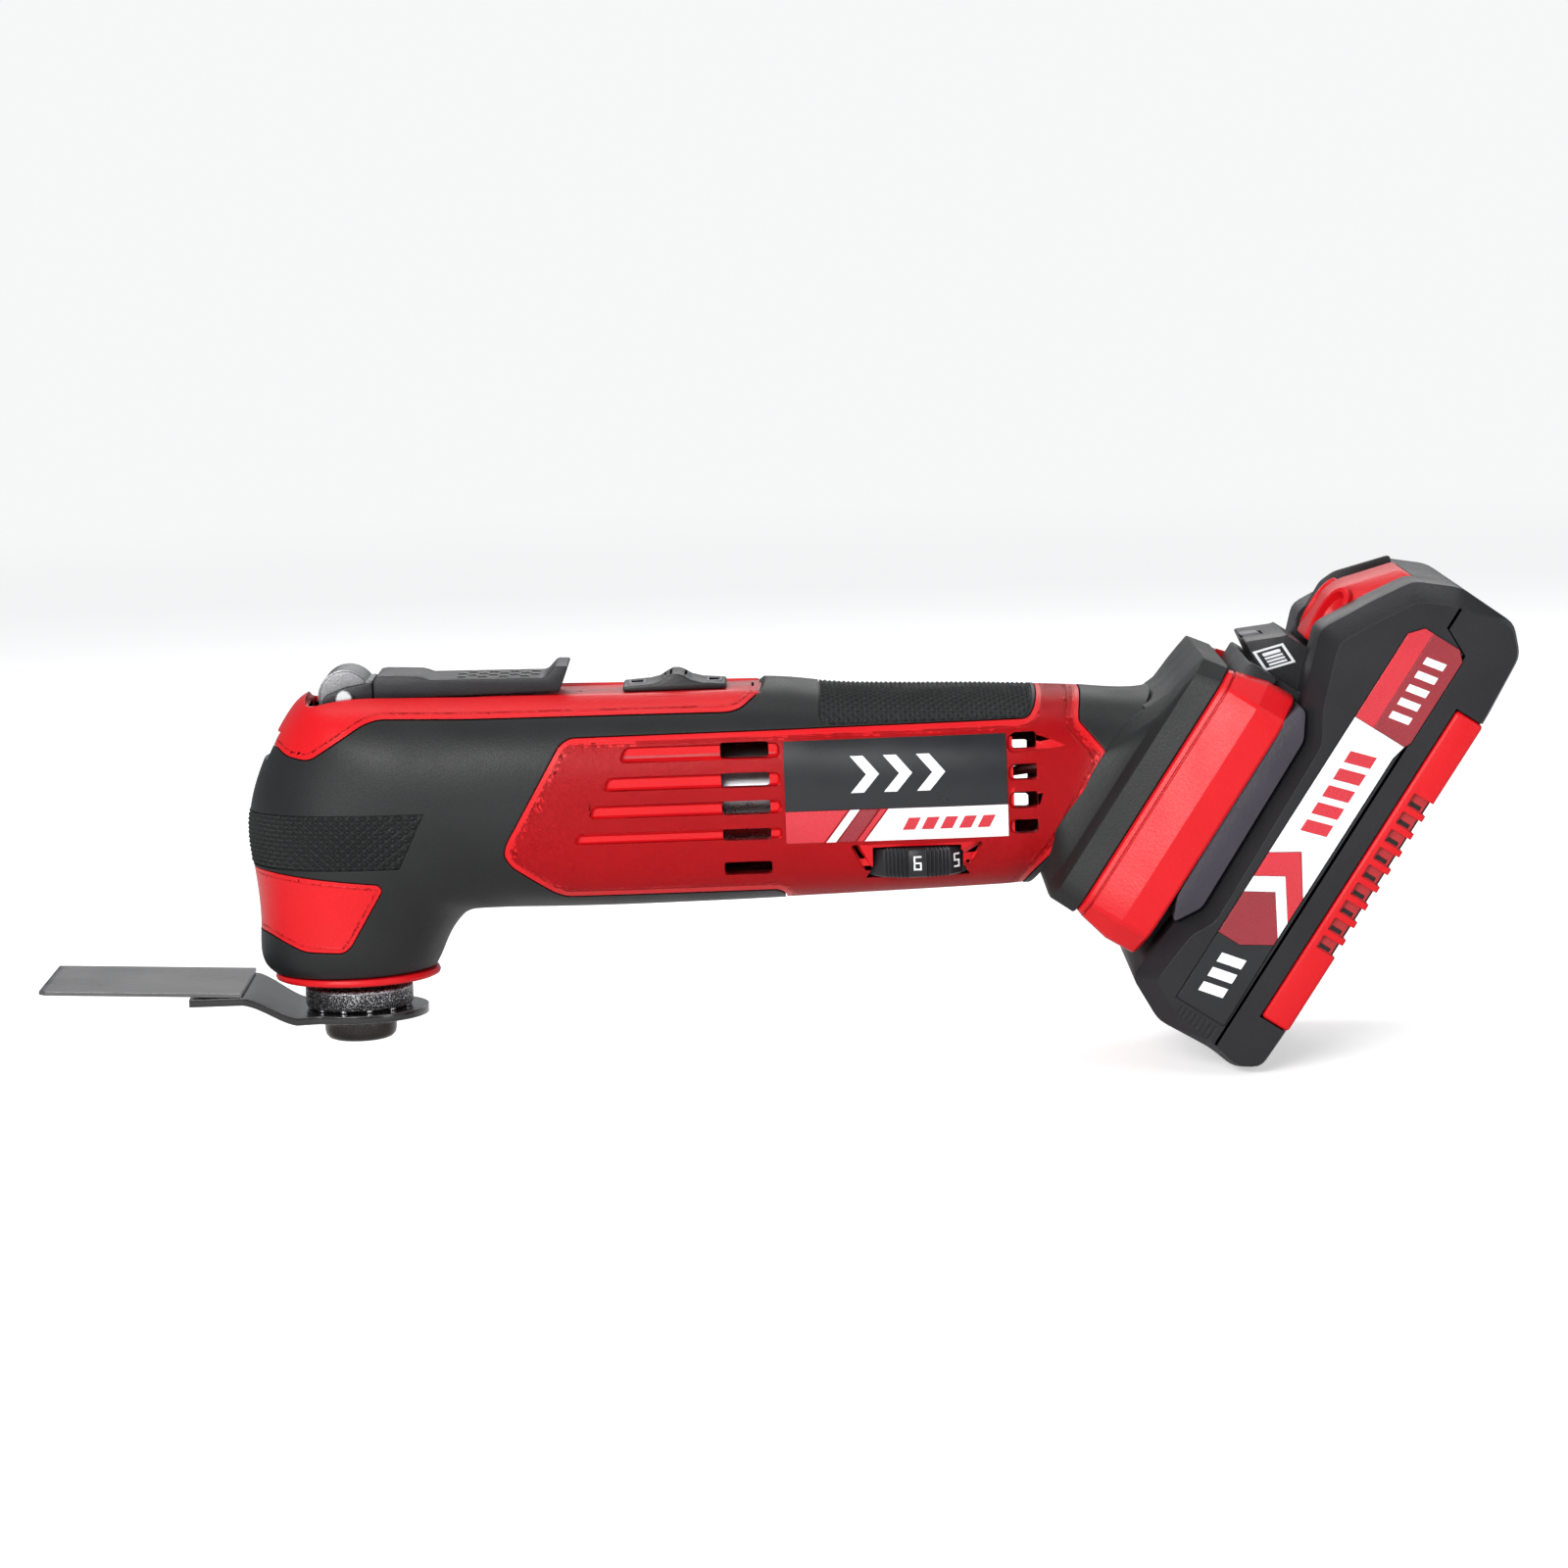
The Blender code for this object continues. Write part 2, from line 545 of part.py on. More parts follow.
def flat_plate(name, outline, z_low, z_high, material, collection=PARTS):
    """An outline in X and Y, extruded upwards."""
    shape = bmesh.new()
    corners = [shape.verts.new((x * MM, y * MM, z_low * MM)) for x, y in outline]
    face = shape.faces.new(corners)
    grown_part = bmesh.ops.extrude_face_region(shape, geom=[face])["geom"]
    moved = [element for element in grown_part if isinstance(element, bmesh.types.BMVert)]
    bmesh.ops.translate(shape, verts=moved, vec=(0.0, 0.0, (z_high - z_low) * MM))
    return object_from_bmesh(name, shape, material, collection)


ARM_TOP = -0.3
ARM_THICK = 1.8
ARM_R = 16.2
BLADE_HALF = 19.0
BLADE_TIP = -73.0
BLADE_LOW = 5.6
BLADE_THICK = 1.0
TOOTH_PITCH = 2.0
TOOTH_DEPTH = 1.6


def arm_height(x):
    """Underside of the cranked arm: flat at the clamp, a ramp, then level with the blade."""
    ramp_start, ramp_end = -14.5, -25.0
    rise = BLADE_LOW - ARM_THICK - 0.15 - (ARM_TOP - ARM_THICK)
    if x >= ramp_start:
        return ARM_TOP - ARM_THICK
    if x <= ramp_end:
        return ARM_TOP - ARM_THICK + rise
    return ARM_TOP - ARM_THICK + rise * (ramp_start - x) / (ramp_start - ramp_end)


def blade_arm():
    """Sheet arm: a round clamp end that cranks up to the blade."""
    stations = [ARM_R * math.cos(math.radians(angle)) for angle in range(0, 180, 15)]
    stations = [x for x in stations if x > -13.0] + [-14.5, -25.0, -38.0]
    shape = bmesh.new()
    rows = []
    for x in stations:
        if x > -8.0:
            half = max(math.sqrt(max(ARM_R ** 2 - x ** 2, 0.0)), 0.6)
        else:
            half = 14.2 + (BLADE_HALF - 14.2) * min((-8.0 - x) / 17.0, 1.0)
        low = arm_height(x)
        corners = [(x, -half, low), (x, half, low), (x, half, low + ARM_THICK), (x, -half, low + ARM_THICK)]
        rows.append([shape.verts.new((a * MM, b * MM, c * MM)) for a, b, c in corners])
    for low, high in zip(rows, rows[1:]):
        for step in range(4):
            following = (step + 1) % 4
            shape.faces.new((low[step], low[following], high[following], high[step]))
    shape.faces.new(rows[0])
    shape.faces.new(list(reversed(rows[-1])))
    arm = object_from_bmesh("blade_arm", shape, DARK_STEEL, PARTS)
    cut(arm, rod("arm_hole", 5.0, (0, 0, -10.0), (0, 0, 10.0), STEEL, 24, CUTTERS))


def saw_blade():
    teeth = int(2 * BLADE_HALF / TOOTH_PITCH)
    outline = [(-26.0, -BLADE_HALF), (-26.0, BLADE_HALF), (BLADE_TIP + TOOTH_DEPTH, BLADE_HALF)]
    for index in range(teeth):
        y = BLADE_HALF - (index + 0.5) * TOOTH_PITCH
        outline.append((BLADE_TIP, y))
        outline.append((BLADE_TIP + TOOTH_DEPTH, y - TOOTH_PITCH / 2))
    outline[-1] = (BLADE_TIP + TOOTH_DEPTH, -BLADE_HALF)
    flat_plate("saw_blade", outline, BLADE_LOW, BLADE_LOW + BLADE_THICK, STEEL)


def clamp():
    bolt = [
        (0.0, 66.6), (BOLT_R, 66.6), (BOLT_R, -2.5), (8.7, -2.5), (8.7, 1.2 - BOLT_DROP),
        (7.6, -BOLT_DROP), (0.0, -BOLT_DROP),
    ]
    turned("clamp_bolt", bolt, (0, 0, 0), (0, 0, 1), DARK_STEEL, 28)
    lever = [
        (7.2, 73.0), (50.2, 73.4), (52.4, 79.2), (49.8, 79.6), (46.8, 76.9), (20.0, 77.5),
        (17.8, 78.3), (8.2, 78.6), (7.2, 77.2),
    ]
    prism("clamp_lever", lever, -10.4, 10.4, BLACK)
    cam = ring("lever_cam", 2.1, CAM_R, -10.0, 10.0, LEVER_AXIS, (0, 1, 0), STEEL, 28)
    tongue = box("lever_tongue", (2.0, -9.0, 73.4), (6.9, 9.0, 77.4), STEEL, CUTTERS)
    join(cam, tongue)
    cut(cam, rod("pin_bore", 2.1, (LEVER_AXIS.x, -20, LEVER_AXIS.z), (LEVER_AXIS.x, 20, LEVER_AXIS.z),
                 STEEL, 28, CUTTERS))


def motor():
    wall = 1.6
    can = [
        (MOTOR_R, MOTOR_BACK), (MOTOR_R, MOTOR_FRONT), (7.0, MOTOR_FRONT), (7.0, MOTOR_FRONT + wall),
        (MOTOR_R - wall, MOTOR_FRONT + wall), (MOTOR_R - wall, MOTOR_BACK),
    ]
    turned("motor_can", can, (0, 0, SHAFT_Z), (1, 0, 0), STEEL, 32, closed=True)
    back = MOTOR_BACK
    cap = [
        (MOTOR_R, back + 4.6), (MOTOR_R, back + GAP), (6.9, back + GAP), (6.9, back + 4.2),
        (3.0, back + 4.2), (3.0, back + 6.2), (8.5, back + 6.2), (8.5, back + 4.6),
    ]
    turned("motor_end_cap", cap, (0, 0, SHAFT_Z), (1, 0, 0), BLACK, 32, closed=True)
    ring("rear_motor_bearing", 2.65, 6.6, back + GAP, back + 4.0, (0, 0, SHAFT_Z), (1, 0, 0), STEEL, 20)
    rod("rotor_shaft", 2.5, (38.6, 0, SHAFT_Z), (MOTOR_BACK + 5.8, 0, SHAFT_Z), STEEL, 16)
    ring("armature", 2.5 + 0.05, 14.4, 67.0, 102.0, (0, 0, SHAFT_Z), (1, 0, 0), DARK_STEEL)
    ring("commutator", 2.5 + 0.05, 7.5, 102.3, 111.8, (0, 0, SHAFT_Z), (1, 0, 0), COPPER, 20)
    for side, tag in ((-1, "left"), (1, "right")):
        low, high = side_range(side, 8.0, 15.6)
        box("motor_brush_" + tag, (104.0, low, SHAFT_Z - 3.0), (110.0, high, SHAFT_Z + 3.0), DARK_STEEL)
    fan = ring("cooling_fan", 2.5 + 0.05, 5.0, 50.6, 60.6, (0, 0, SHAFT_Z), (1, 0, 0), BLACK, 20)
    back_plate = ring("fan_plate", 2.5 + 0.05, 16.0, 50.6, 52.0, (0, 0, SHAFT_Z), (1, 0, 0), BLACK, 24, CUTTERS)
    join(fan, back_plate)
    blades = 8
    for index in range(blades):
        blade = box("fan_blade_%d" % index, (51.4, -0.6, 4.5), (60.2, 0.6, 15.6), BLACK, CUTTERS)
        turn = Matrix.Rotation(2.0 * math.pi * index / blades, 3, 'X')
        blade.location = Vector((0.0, 0.0, SHAFT_Z * MM)) + turn @ blade.location
        blade.rotation_euler = turn.to_euler()
        join(fan, blade)
    rod("eccentric", 4.4, (28.6, 0, SHAFT_Z + THROW), (38.3, 0, SHAFT_Z + THROW), STEEL, 20)
    ring("eccentric_bearing", 4.45, 8.0, 29.0, 36.0, (0, 0, SHAFT_Z + THROW), (1, 0, 0), STEEL)


def controls():
    profile = [
        (64.9, 72.6), (89.2, 72.6), (89.2, 73.9), (83.0, 74.4), (79.6, 75.8), (78.2, 76.6),
        (76.4, 76.6), (74.8, 75.6), (71.4, 74.4), (64.9, 73.9),
    ]
    slider = prism("switch_slider", profile, -8.0, 8.0, BLACK)
    join(slider, box("slider_post", (74.0, -2.4, 67.8), (80.0, 2.4, 73.4), BLACK, CUTTERS))
    box("switch_rod", (72.0, -2.8, 66.1), (122.0, 2.8, 67.5), GREY)
    box("power_switch", (123.6, -6.0, 55.5), (142.0, 6.0, 65.6), BLACK)
    board = box("control_board", (121.6, -13.8, 39.6), (150.0, 15.5, 41.2), BOARD)
    join(board, box("board_part_a", (126.0, 2.0, 40.8), (140.0, 12.0, 47.0), BOARD, CUTTERS))
    join(board, box("dial_socket", (127.8, -13.6, 37.4), (135.8, -9.0, 40.0), BOARD, CUTTERS))
    dial = ring("speed_dial", 1.2, DIAL_R, -DIAL_HALF, DIAL_HALF, DIAL_CENTRE, (0, 0, 1), BLACK, 32)
    bevel(dial, 0.4, 1)


def wiring():
    block = battery_box("terminal_block", (124.0, -17.0, 121.0), (160.0, 17.0, 131.4), BLACK)
    for side, tag in ((-1, "left"), (1, "right")):
        slot = battery_box("blade_slot_" + tag, (135.8, side * 9.0 - 0.7, 110.0), (154.2, side * 9.0 + 0.7, 150.0),
                           BLACK, CUTTERS)
        cut(block, slot)
        battery_box("terminal_blade_" + tag, (136.1, side * 9.0 - 0.4, 119.0), (153.9, side * 9.0 + 0.4, 138.6), BRASS)
    wire_paths = (
        ("battery_lead", 5.0, (150.4, 44.5), 0.0),
        ("motor_lead", -5.0, (150.4, 50.0), 0.0),
    )
    for name, y, (start_x, start_z), _ in wire_paths:
        end = battery_point(142.0, y * 1.4, 119.4)
        points = [(start_x, y, start_z), (start_x + 8.0, y, start_z + 1.0), (end.x - 4.0, y * 1.4, end.z + 1.0),
                  (end.x, y * 1.4, end.z)]
        wire(name, points, 1.1, COPPER)


def wire(name, points, radius, material):
    curve = bpy.data.curves.new(name, 'CURVE')
    curve.dimensions = '3D'
    curve.bevel_depth = radius * MM
    curve.bevel_resolution = 2
    curve.use_fill_caps = True
    spline = curve.splines.new('POLY')
    spline.points.add(len(points) - 1)
    for target, point in zip(spline.points, points):
        target.co = (*[value * MM for value in point], 1.0)
    return finish(bpy.data.objects.new(name, curve), material, PARTS)


def battery():
    case = battery_prism("battery_upper_case", CASE_TOOL_SIDE, -37.0, 37.0, BLACK)
    bevel(case, 3.0, 2, 60.0)
    cavity = [(102.8, 175.0), (102.8, 156.5), (214.0, 156.5), (216.8, 163.5), (216.8, 175.0)]
    tower = [(179.2, 131.0), (179.2, 147.0), (195.0, 147.0), (195.0, 139.0), (189.4, 129.5), (181.2, 129.5)]
    join(
        case,
        battery_box("slide_head", (113.2, -25.6, 131.7), (180.0, 25.6, 139.2), BLACK, CUTTERS),
        battery_box("slide_neck", (113.2, -22.1, 138.6), (180.0, 22.1, 154.0), BLACK, CUTTERS),
        battery_prism("gauge_tower", tower, -16.0, 16.0, BLACK, CUTTERS),
    )
    cut(case, battery_prism("case_cavity", cavity, -34.0, 34.0, BLACK, CUTTERS))
    for side, tag in ((-1, "left"), (1, "right")):
        slot = battery_box("tongue_slot_" + tag, (100.0, side * 9.0 - 1.1, 125.0),
                           (155.6, side * 9.0 + 1.1, 140.2), BLACK, CUTTERS)
        cut(case, slot)
    cut(case, battery_box("button_pocket", (181.8, -3.9, 125.0), (186.6, 3.9, 131.4), BLACK, CUTTERS))
    latch_pocket = [(187.6, 130.0), (187.6, 143.0), (190.5, 148.6), (212.0, 158.4), (226.0, 158.4), (226.0, 130.0)]
    cut(case, battery_prism("latch_pocket", latch_pocket, -16.4, 16.4, BLACK, CUTTERS))
    lower = battery_prism("battery_lower_case", CASE_FAR_SIDE, -37.0, 37.0, BLACK)
    bevel(lower, 3.0, 2, 30.0)
    cut(lower, battery_box("lower_cavity", (103.0, -34.0, 165.0), (216.0, 34.0, 182.0), BLACK, CUTTERS))
    grips(lower)
    battery_prism("battery_latch", LATCH, -16.0, 16.0, RED)
    cells()
    battery_box("gauge_button", (182.2, -3.5, 128.6), (186.2, 3.5, 130.4), GREY)


GRIP_FINS = 8
GRIP_LOW, GRIP_HIGH = 113.0, 196.0
GRIP_FIRST, GRIP_PITCH = 133.0, 6.6


def grips(lower):
    """Ribbed red inserts let into both corners of the far case."""
    for side, tag in ((-1, "left"), (1, "right")):
        low, high = side_range(side, 30.0, 38.0)
        pocket = battery_box("grip_pocket_" + tag, (GRIP_LOW - GAP, low, 176.7), (GRIP_HIGH + GAP, high, 190.0),
                             BLACK, CUTTERS)
        cut(lower, pocket)
        low, high = side_range(side, 30.4, 37.0)
        insert = battery_box("battery_grip_" + tag, (GRIP_LOW, low, 177.0), (GRIP_HIGH, high, 185.6), RED)
        for index in range(GRIP_FINS):
            start = GRIP_FIRST + index * GRIP_PITCH
            low, high = side_range(side, 35.4, 40.0)
            cut(insert, battery_box("rib_gap_%s_%d" % (tag, index), (start, low, 180.0),
                                    (start + 3.4, high, 190.0), RED, CUTTERS))


def cells():
    for index in range(5):
        along = CELL_FIRST + index * CELL_PITCH
        start = battery_point(along, -CELL_HALF, CELL_AWAY)
        end = battery_point(along, CELL_HALF, CELL_AWAY)
        rod("cell_%d" % (index + 1), CELL_R, start, end, WRAP, 20)
    battery_box("cell_board", (116.0, -26.0, 157.0), (200.0, 26.0, 158.2), BOARD)


housing()
gear_case()
spindle()
blade_arm()
saw_blade()
clamp()
motor()
controls()
wiring()
battery()
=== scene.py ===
"""Looks of the cordless oscillating multi tool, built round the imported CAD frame.

Lengths in the helpers are millimetres from the flange face, the datum the part itself uses;
LIFT moves them into the frame. -Y is the tool's left side, which faces the camera.
"""

import math

import bmesh
import bpy
import numpy as np
from mathutils import Matrix, Vector


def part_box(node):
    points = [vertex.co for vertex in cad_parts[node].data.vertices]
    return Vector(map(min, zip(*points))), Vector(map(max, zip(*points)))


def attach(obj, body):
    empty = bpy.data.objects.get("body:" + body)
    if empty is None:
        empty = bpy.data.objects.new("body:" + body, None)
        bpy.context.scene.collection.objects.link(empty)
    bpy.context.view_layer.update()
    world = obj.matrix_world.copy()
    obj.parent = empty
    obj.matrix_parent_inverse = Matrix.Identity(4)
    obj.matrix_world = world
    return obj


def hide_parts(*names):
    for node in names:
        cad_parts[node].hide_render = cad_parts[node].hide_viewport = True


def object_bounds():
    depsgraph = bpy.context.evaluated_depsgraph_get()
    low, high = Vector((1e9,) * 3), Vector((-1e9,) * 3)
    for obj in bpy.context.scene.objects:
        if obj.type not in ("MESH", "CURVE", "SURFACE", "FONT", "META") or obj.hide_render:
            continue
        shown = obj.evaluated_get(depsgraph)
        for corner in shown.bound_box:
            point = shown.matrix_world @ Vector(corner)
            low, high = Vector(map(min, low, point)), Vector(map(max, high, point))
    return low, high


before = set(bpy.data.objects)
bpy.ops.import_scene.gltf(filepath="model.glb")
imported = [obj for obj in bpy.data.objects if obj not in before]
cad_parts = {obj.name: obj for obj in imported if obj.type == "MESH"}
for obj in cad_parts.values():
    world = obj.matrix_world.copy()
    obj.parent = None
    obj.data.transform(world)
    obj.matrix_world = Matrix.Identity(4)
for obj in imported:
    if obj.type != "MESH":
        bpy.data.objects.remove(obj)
CAD_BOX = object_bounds()

MM = 0.001
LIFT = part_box("spindle")[0].z / MM      # the flange face above the frame's origin
SEAM = 0.07                             # half the parting line between the housing halves
LINE = 0.16                             # half the fine gap between red and black areas
REACH = 70.0                            # how far a cutter runs past the surface
RIPPLE = 0.003                          # keeps neighbouring flat faces apart, so that cuts stay clean

TILT = math.radians(56.2)
ALONG = Vector((math.cos(TILT), 0.0, math.sin(TILT)))
AWAY = Vector((math.sin(TILT), 0.0, -math.cos(TILT)))

LEVER_AXIS = Vector((0.4, 0.0, 73.7))
DIAL_CENTRE = Vector((131.8, -14.5, 32.8))
DECK_FLOOR = 72.2
DECK_HALF = 13.6

# Housing sections: (front or top point, back or bottom point, half width, squareness)
SECTIONS = [
    ((-19.6, 9.0), (18.7, 9.4), 19.2, 2.0),
    ((-20.9, 9.6), (19.5, 10.6), 20.3, 2.0),
    ((-22.1, 11.6), (20.3, 12.4), 21.3, 2.0),
    ((-22.6, 14.5), (21.4, 15.0), 21.9, 2.0),
    ((-22.3, 20.0), (22.9, 17.7), 22.3, 2.0),
    ((-22.6, 28.0), (24.6, 19.9), 22.8, 2.0),
    ((-23.5, 36.0), (26.4, 21.6), 23.6, 2.05),
    ((-24.1, 43.5), (28.6, 22.4), 24.4, 2.1),
    ((-22.9, 51.0), (31.0, 22.5), 25.0, 2.15),
    ((-20.4, 58.0), (33.5, 22.5), 25.4, 2.2),
    ((-17.2, 64.5), (36.0, 22.5), 25.7, 2.25),
    ((-14.0, 69.8), (38.5, 22.5), 26.0, 2.3),
    ((-10.5, 74.0), (41.0, 22.5), 26.2, 2.4),
    ((-2.0, 75.8), (44.0, 22.5), 26.5, 2.5),
    ((12.0, 75.6), (48.0, 22.5), 26.8, 2.6),
    ((30.0, 75.0), (55.0, 22.5), 27.0, 2.7),
    ((50.0, 74.6), (65.0, 22.5), 27.0, 2.75),
    ((72.0, 74.2), (78.0, 22.6), 27.0, 2.75),
    ((94.0, 74.2), (94.0, 22.8), 27.0, 2.75),
    ((104.0, 73.6), (104.0, 23.0), 27.0, 2.75),
    ((113.0, 72.4), (113.0, 23.2), 27.0, 2.75),
    ((132.0, 71.4), (132.0, 23.6), 27.0, 2.7),
    ((150.0, 70.8), (148.0, 24.0), 26.8, 2.65),
    ((162.0, 70.2), (153.0, 24.1), 26.2, 2.6),
    ((171.0, 69.7), (156.0, 24.2), 25.0, 2.5),
    ((181.0, 68.7), (158.5, 24.2), 24.6, 2.5),
    ((188.0, 68.8), (160.0, 24.3), 26.0, 2.6),
    ((193.0, 70.6), (161.2, 24.6), 29.0, 2.8),
]

SIDE_PANEL = [
    (52.7, 64.2), (50.2, 62.6), (37.2, 40.2), (36.6, 37.6), (38.2, 34.7), (47.6, 27.9), (50.5, 26.6),
    (99.6, 26.5), (101.4, 25.2), (101.4, 12.0), (150.0, 12.0), (157.9, 27.7), (165.3, 35.8),
    (177.1, 55.5), (170.3, 63.5), (170.3, 65.1), (171.7, 71.3), (172.5, 84.0), (161.6, 84.0),
    (161.3, 71.4), (160.4, 67.6), (158.5, 64.7),
]
TOP_CAP = [
    (-34.0, 63.6), (-16.1, 63.2), (-13.3, 61.2), (-7.8, 60.3), (-3.9, 62.8), (5.0, 68.4),
    (8.6, 69.5), (29.9, 68.9), (89.6, 68.5), (92.3, 69.2), (97.3, 72.8), (98.5, 74.8),
    (98.5, 90.0), (-34.0, 90.0),
]
NOSE_PANEL = [
    (-34.0, 34.6), (-34.0, 19.6), (-19.8, 19.6), (-10.8, 15.8), (-1.5, 15.5), (0.4, 17.0),
    (8.3, 30.2), (7.4, 31.6), (-20.1, 34.6),
]
GAP_LINE = [
    (169.0, 84.0), (168.3, 71.9), (167.8, 68.8), (166.8, 65.4), (166.8, 63.2), (169.7, 59.4), (172.6, 55.8),
    (172.9, 54.2), (162.0, 35.9), (154.9, 27.5), (146.0, 10.0),
]
BAND = [(-34.0, 47.6), (18.1, 47.6), (12.2, 35.4), (-34.0, 35.4)]
GRIP = [
    (110.6, 66.4), (112.0, 65.2), (157.6, 65.2), (159.0, 67.0), (160.0, 71.4), (160.2, 84.0),
    (112.2, 84.0), (110.8, 72.0),
]
DIAL_RECESS = [(116.4, 37.3), (147.3, 37.1), (142.5, 29.0), (120.4, 29.0)]

# Vent rows: (top, bottom, where the groove ends); slots: (left, right), and the low slot's (top, bottom)
FRONT_ROWS = [(62.0, 58.3, 64.0), (55.1, 51.7, 60.0), (48.6, 45.4, 56.4), (42.1, 39.4, 52.8)]
FRONT_SLOT = (87.3, 98.4)
LOW_SLOT = (34.2, 31.0)
REAR_ROWS = [(61.9, 58.0, 169.0), (54.8, 51.1, 170.2), (48.4, 44.6, 166.4), (41.9, 38.6, 162.8)]
REAR_SLOT = (154.5, 160.0)


# ---------------------------------------------------------------- mesh helpers

def to_frame(points):
    """Millimetre points from the flange face into metres in the frame."""
    array = np.asarray(points, float).reshape(-1, 3).copy()
    array[:, 2] += LIFT
    return array * MM


def spot(x, y, z):
    """One millimetre point in metres in the frame."""
    return x * MM, y * MM, (z + LIFT) * MM


def linked(name, data):
    """An object in the scene around a mesh, light or camera."""
    item = bpy.data.objects.new(name, data)
    bpy.context.scene.collection.objects.link(item)
    return item


def mesh_object(name, points, faces):
    mesh = bpy.data.meshes.new(name)
    mesh.from_pydata(to_frame(points).tolist(), [], faces)
    mesh.update()
    return linked(name, mesh)


def object_of(name, shape):
    bmesh.ops.recalc_face_normals(shape, faces=shape.faces)
    mesh = bpy.data.meshes.new(name)
    shape.to_mesh(mesh)
    shape.free()
    return linked(name, mesh)


def outward(item, weld=0.0):
    """Turns every face of a closed mesh outwards, after welding points closer than weld."""
    shape = bmesh.new()
    shape.from_mesh(item.data)
    if weld:
        bmesh.ops.remove_doubles(shape, verts=shape.verts, dist=weld * MM)
    bmesh.ops.recalc_face_normals(shape, faces=shape.faces)
    shape.to_mesh(item.data)
    shape.free()
    return item


def drop(*items):
    for item in items:
        bpy.data.objects.remove(item, do_unlink=True)


def bake(item):
    """Applies the modifiers of a piece."""
    bpy.context.view_layer.update()
    graph = bpy.context.evaluated_depsgraph_get()
    mesh = bpy.data.meshes.new_from_object(item.evaluated_get(graph))
    old = item.data
    item.modifiers.clear()
    item.data = mesh
    bpy.data.meshes.remove(old)
    return item


def combine(target, others, operation):
    """Cut, union or intersection of closed meshes, which uses the others up."""
    for other in others:
        modifier = target.modifiers.new("solid", 'BOOLEAN')
        modifier.operation = operation
        modifier.object = other
        modifier.solver = 'MANIFOLD'
    bake(target)
    drop(*others)
    return target


def merged(name, parts):
    """Separate closed shells put into one mesh."""
    shape = bmesh.new()
    for part in parts:
        shape.from_mesh(part.data)
    shape.to_mesh(parts[0].data)
    shape.free()
    drop(*parts[1:])
    parts[0].name = name
    return parts[0]


def cut(target, *others):
    return combine(target, others, 'DIFFERENCE')


def join(target, *others):
    return combine(target, others, 'UNION')


def clip(target, other):
    return combine(target, [other], 'INTERSECT')


def smooth(item, angle=32.0):
    item.data.shade_smooth()
    item.data.set_sharp_from_angle(angle=math.radians(angle))
    return item


def bend(start, corner, end, steps):
    """A short curve from start to end in place of a corner."""
    shares = [step / steps for step in range(steps + 1)]
    return [tuple(start.lerp(corner, share).lerp(corner.lerp(end, share), share)) for share in shares]


def rectangle(left, right, low, high, lean=0.0):
    """Four corners; lean shifts the top edge sideways."""
    return [(left, low), (right, low), (right + lean, high), (left + lean, high)]


def bar_row(count, pitch, left, right, low, high, lean):
    return [rectangle(left + pitch * i, right + pitch * i, low, high, lean) for i in range(count)]


def rounded(outline, radius, steps=5):
    """The outline with each corner replaced by a short curve."""
    points = [Vector(point) for point in outline]
    result = []
    for index, here in enumerate(points):
        before = points[index - 1]
        after = points[(index + 1) % len(points)]
        reach = min(radius, (before - here).length * 0.45, (after - here).length * 0.45)
        start = here + (before - here).normalized() * reach
        end = here + (after - here).normalized() * reach
        result += bend(start, here, end, steps)
    return result


def grown(outline, margin):
    """The outline moved outwards by margin."""
    count = len(outline)
    area = sum(outline[i - 1][0] * outline[i][1] - outline[i][0] * outline[i - 1][1] for i in range(count))
    turn = 1.0 if area > 0 else -1.0
    result = []
    for index in range(count):
        before = Vector(outline[index - 1])
        here = Vector(outline[index])
        after = Vector(outline[(index + 1) % count])
        first = (here - before).normalized()
        second = (after - here).normalized()
        normal_a = Vector((first.y, -first.x)) * turn
        normal_b = Vector((second.y, -second.x)) * turn
        middle = (normal_a + normal_b).normalized()
        result.append(tuple(here + middle * (margin / max(middle.dot(normal_a), 0.5))))
    return result


def band_outline(path, half):
    """A strip of even width along a path."""
    points = [Vector(point) for point in path]
    left, right = [], []
    for index, here in enumerate(points):
        before = points[max(index - 1, 0)]
        after = points[min(index + 1, len(points) - 1)]
        direction = (after - before).normalized()
        normal = Vector((-direction.y, direction.x))
        left.append(tuple(here + normal * half))
        right.append(tuple(here - normal * half))
    return left + right[::-1]


def same(point):
    return point


def battery_xz(point):
    place = ALONG * point[0] + AWAY * point[1]
    return place.x, place.z


def extruded(name, outlines, shift):
    """Flat outlines of (x, y, z) points, each swept along shift into a solid."""
    shape = bmesh.new()
    for outline in outlines:
        face = shape.faces.new([shape.verts.new(spot(*point)) for point in outline])
        swept = bmesh.ops.extrude_face_region(shape, geom=[face])["geom"]
        moved = [part for part in swept if isinstance(part, bmesh.types.BMVert)]
        bmesh.ops.translate(shape, verts=moved, vec=[length * MM for length in shift])
    return object_of(name, shape)


def prism(name, outlines, y_low, y_high, place=same):
    """One or more side-view outlines extruded along Y."""
    if isinstance(outlines[0][0], (int, float)):
        outlines = [outlines]
    flat = [[place(point) for point in outline] for outline in outlines]
    return extruded(name, [[(x, y_low, z) for x, z in outline] for outline in flat], (0.0, y_high - y_low, 0.0))


def plate(name, outline, z_low, z_high):
    """An outline in X and Y, extruded upwards."""
    return extruded(name, [[(x, y, z_low) for x, y in outline]], (0.0, 0.0, z_high - z_low))


def side_span(side, near=-1.0, far=REACH):
    """Two distances from the middle plane as a rising pair of y values on one side."""
    return (near, far) if side > 0 else (-far, -near)


def box(name, low, high):
    return prism(name, rectangle(low[0], high[0], low[2], high[2]), low[1], high[1])


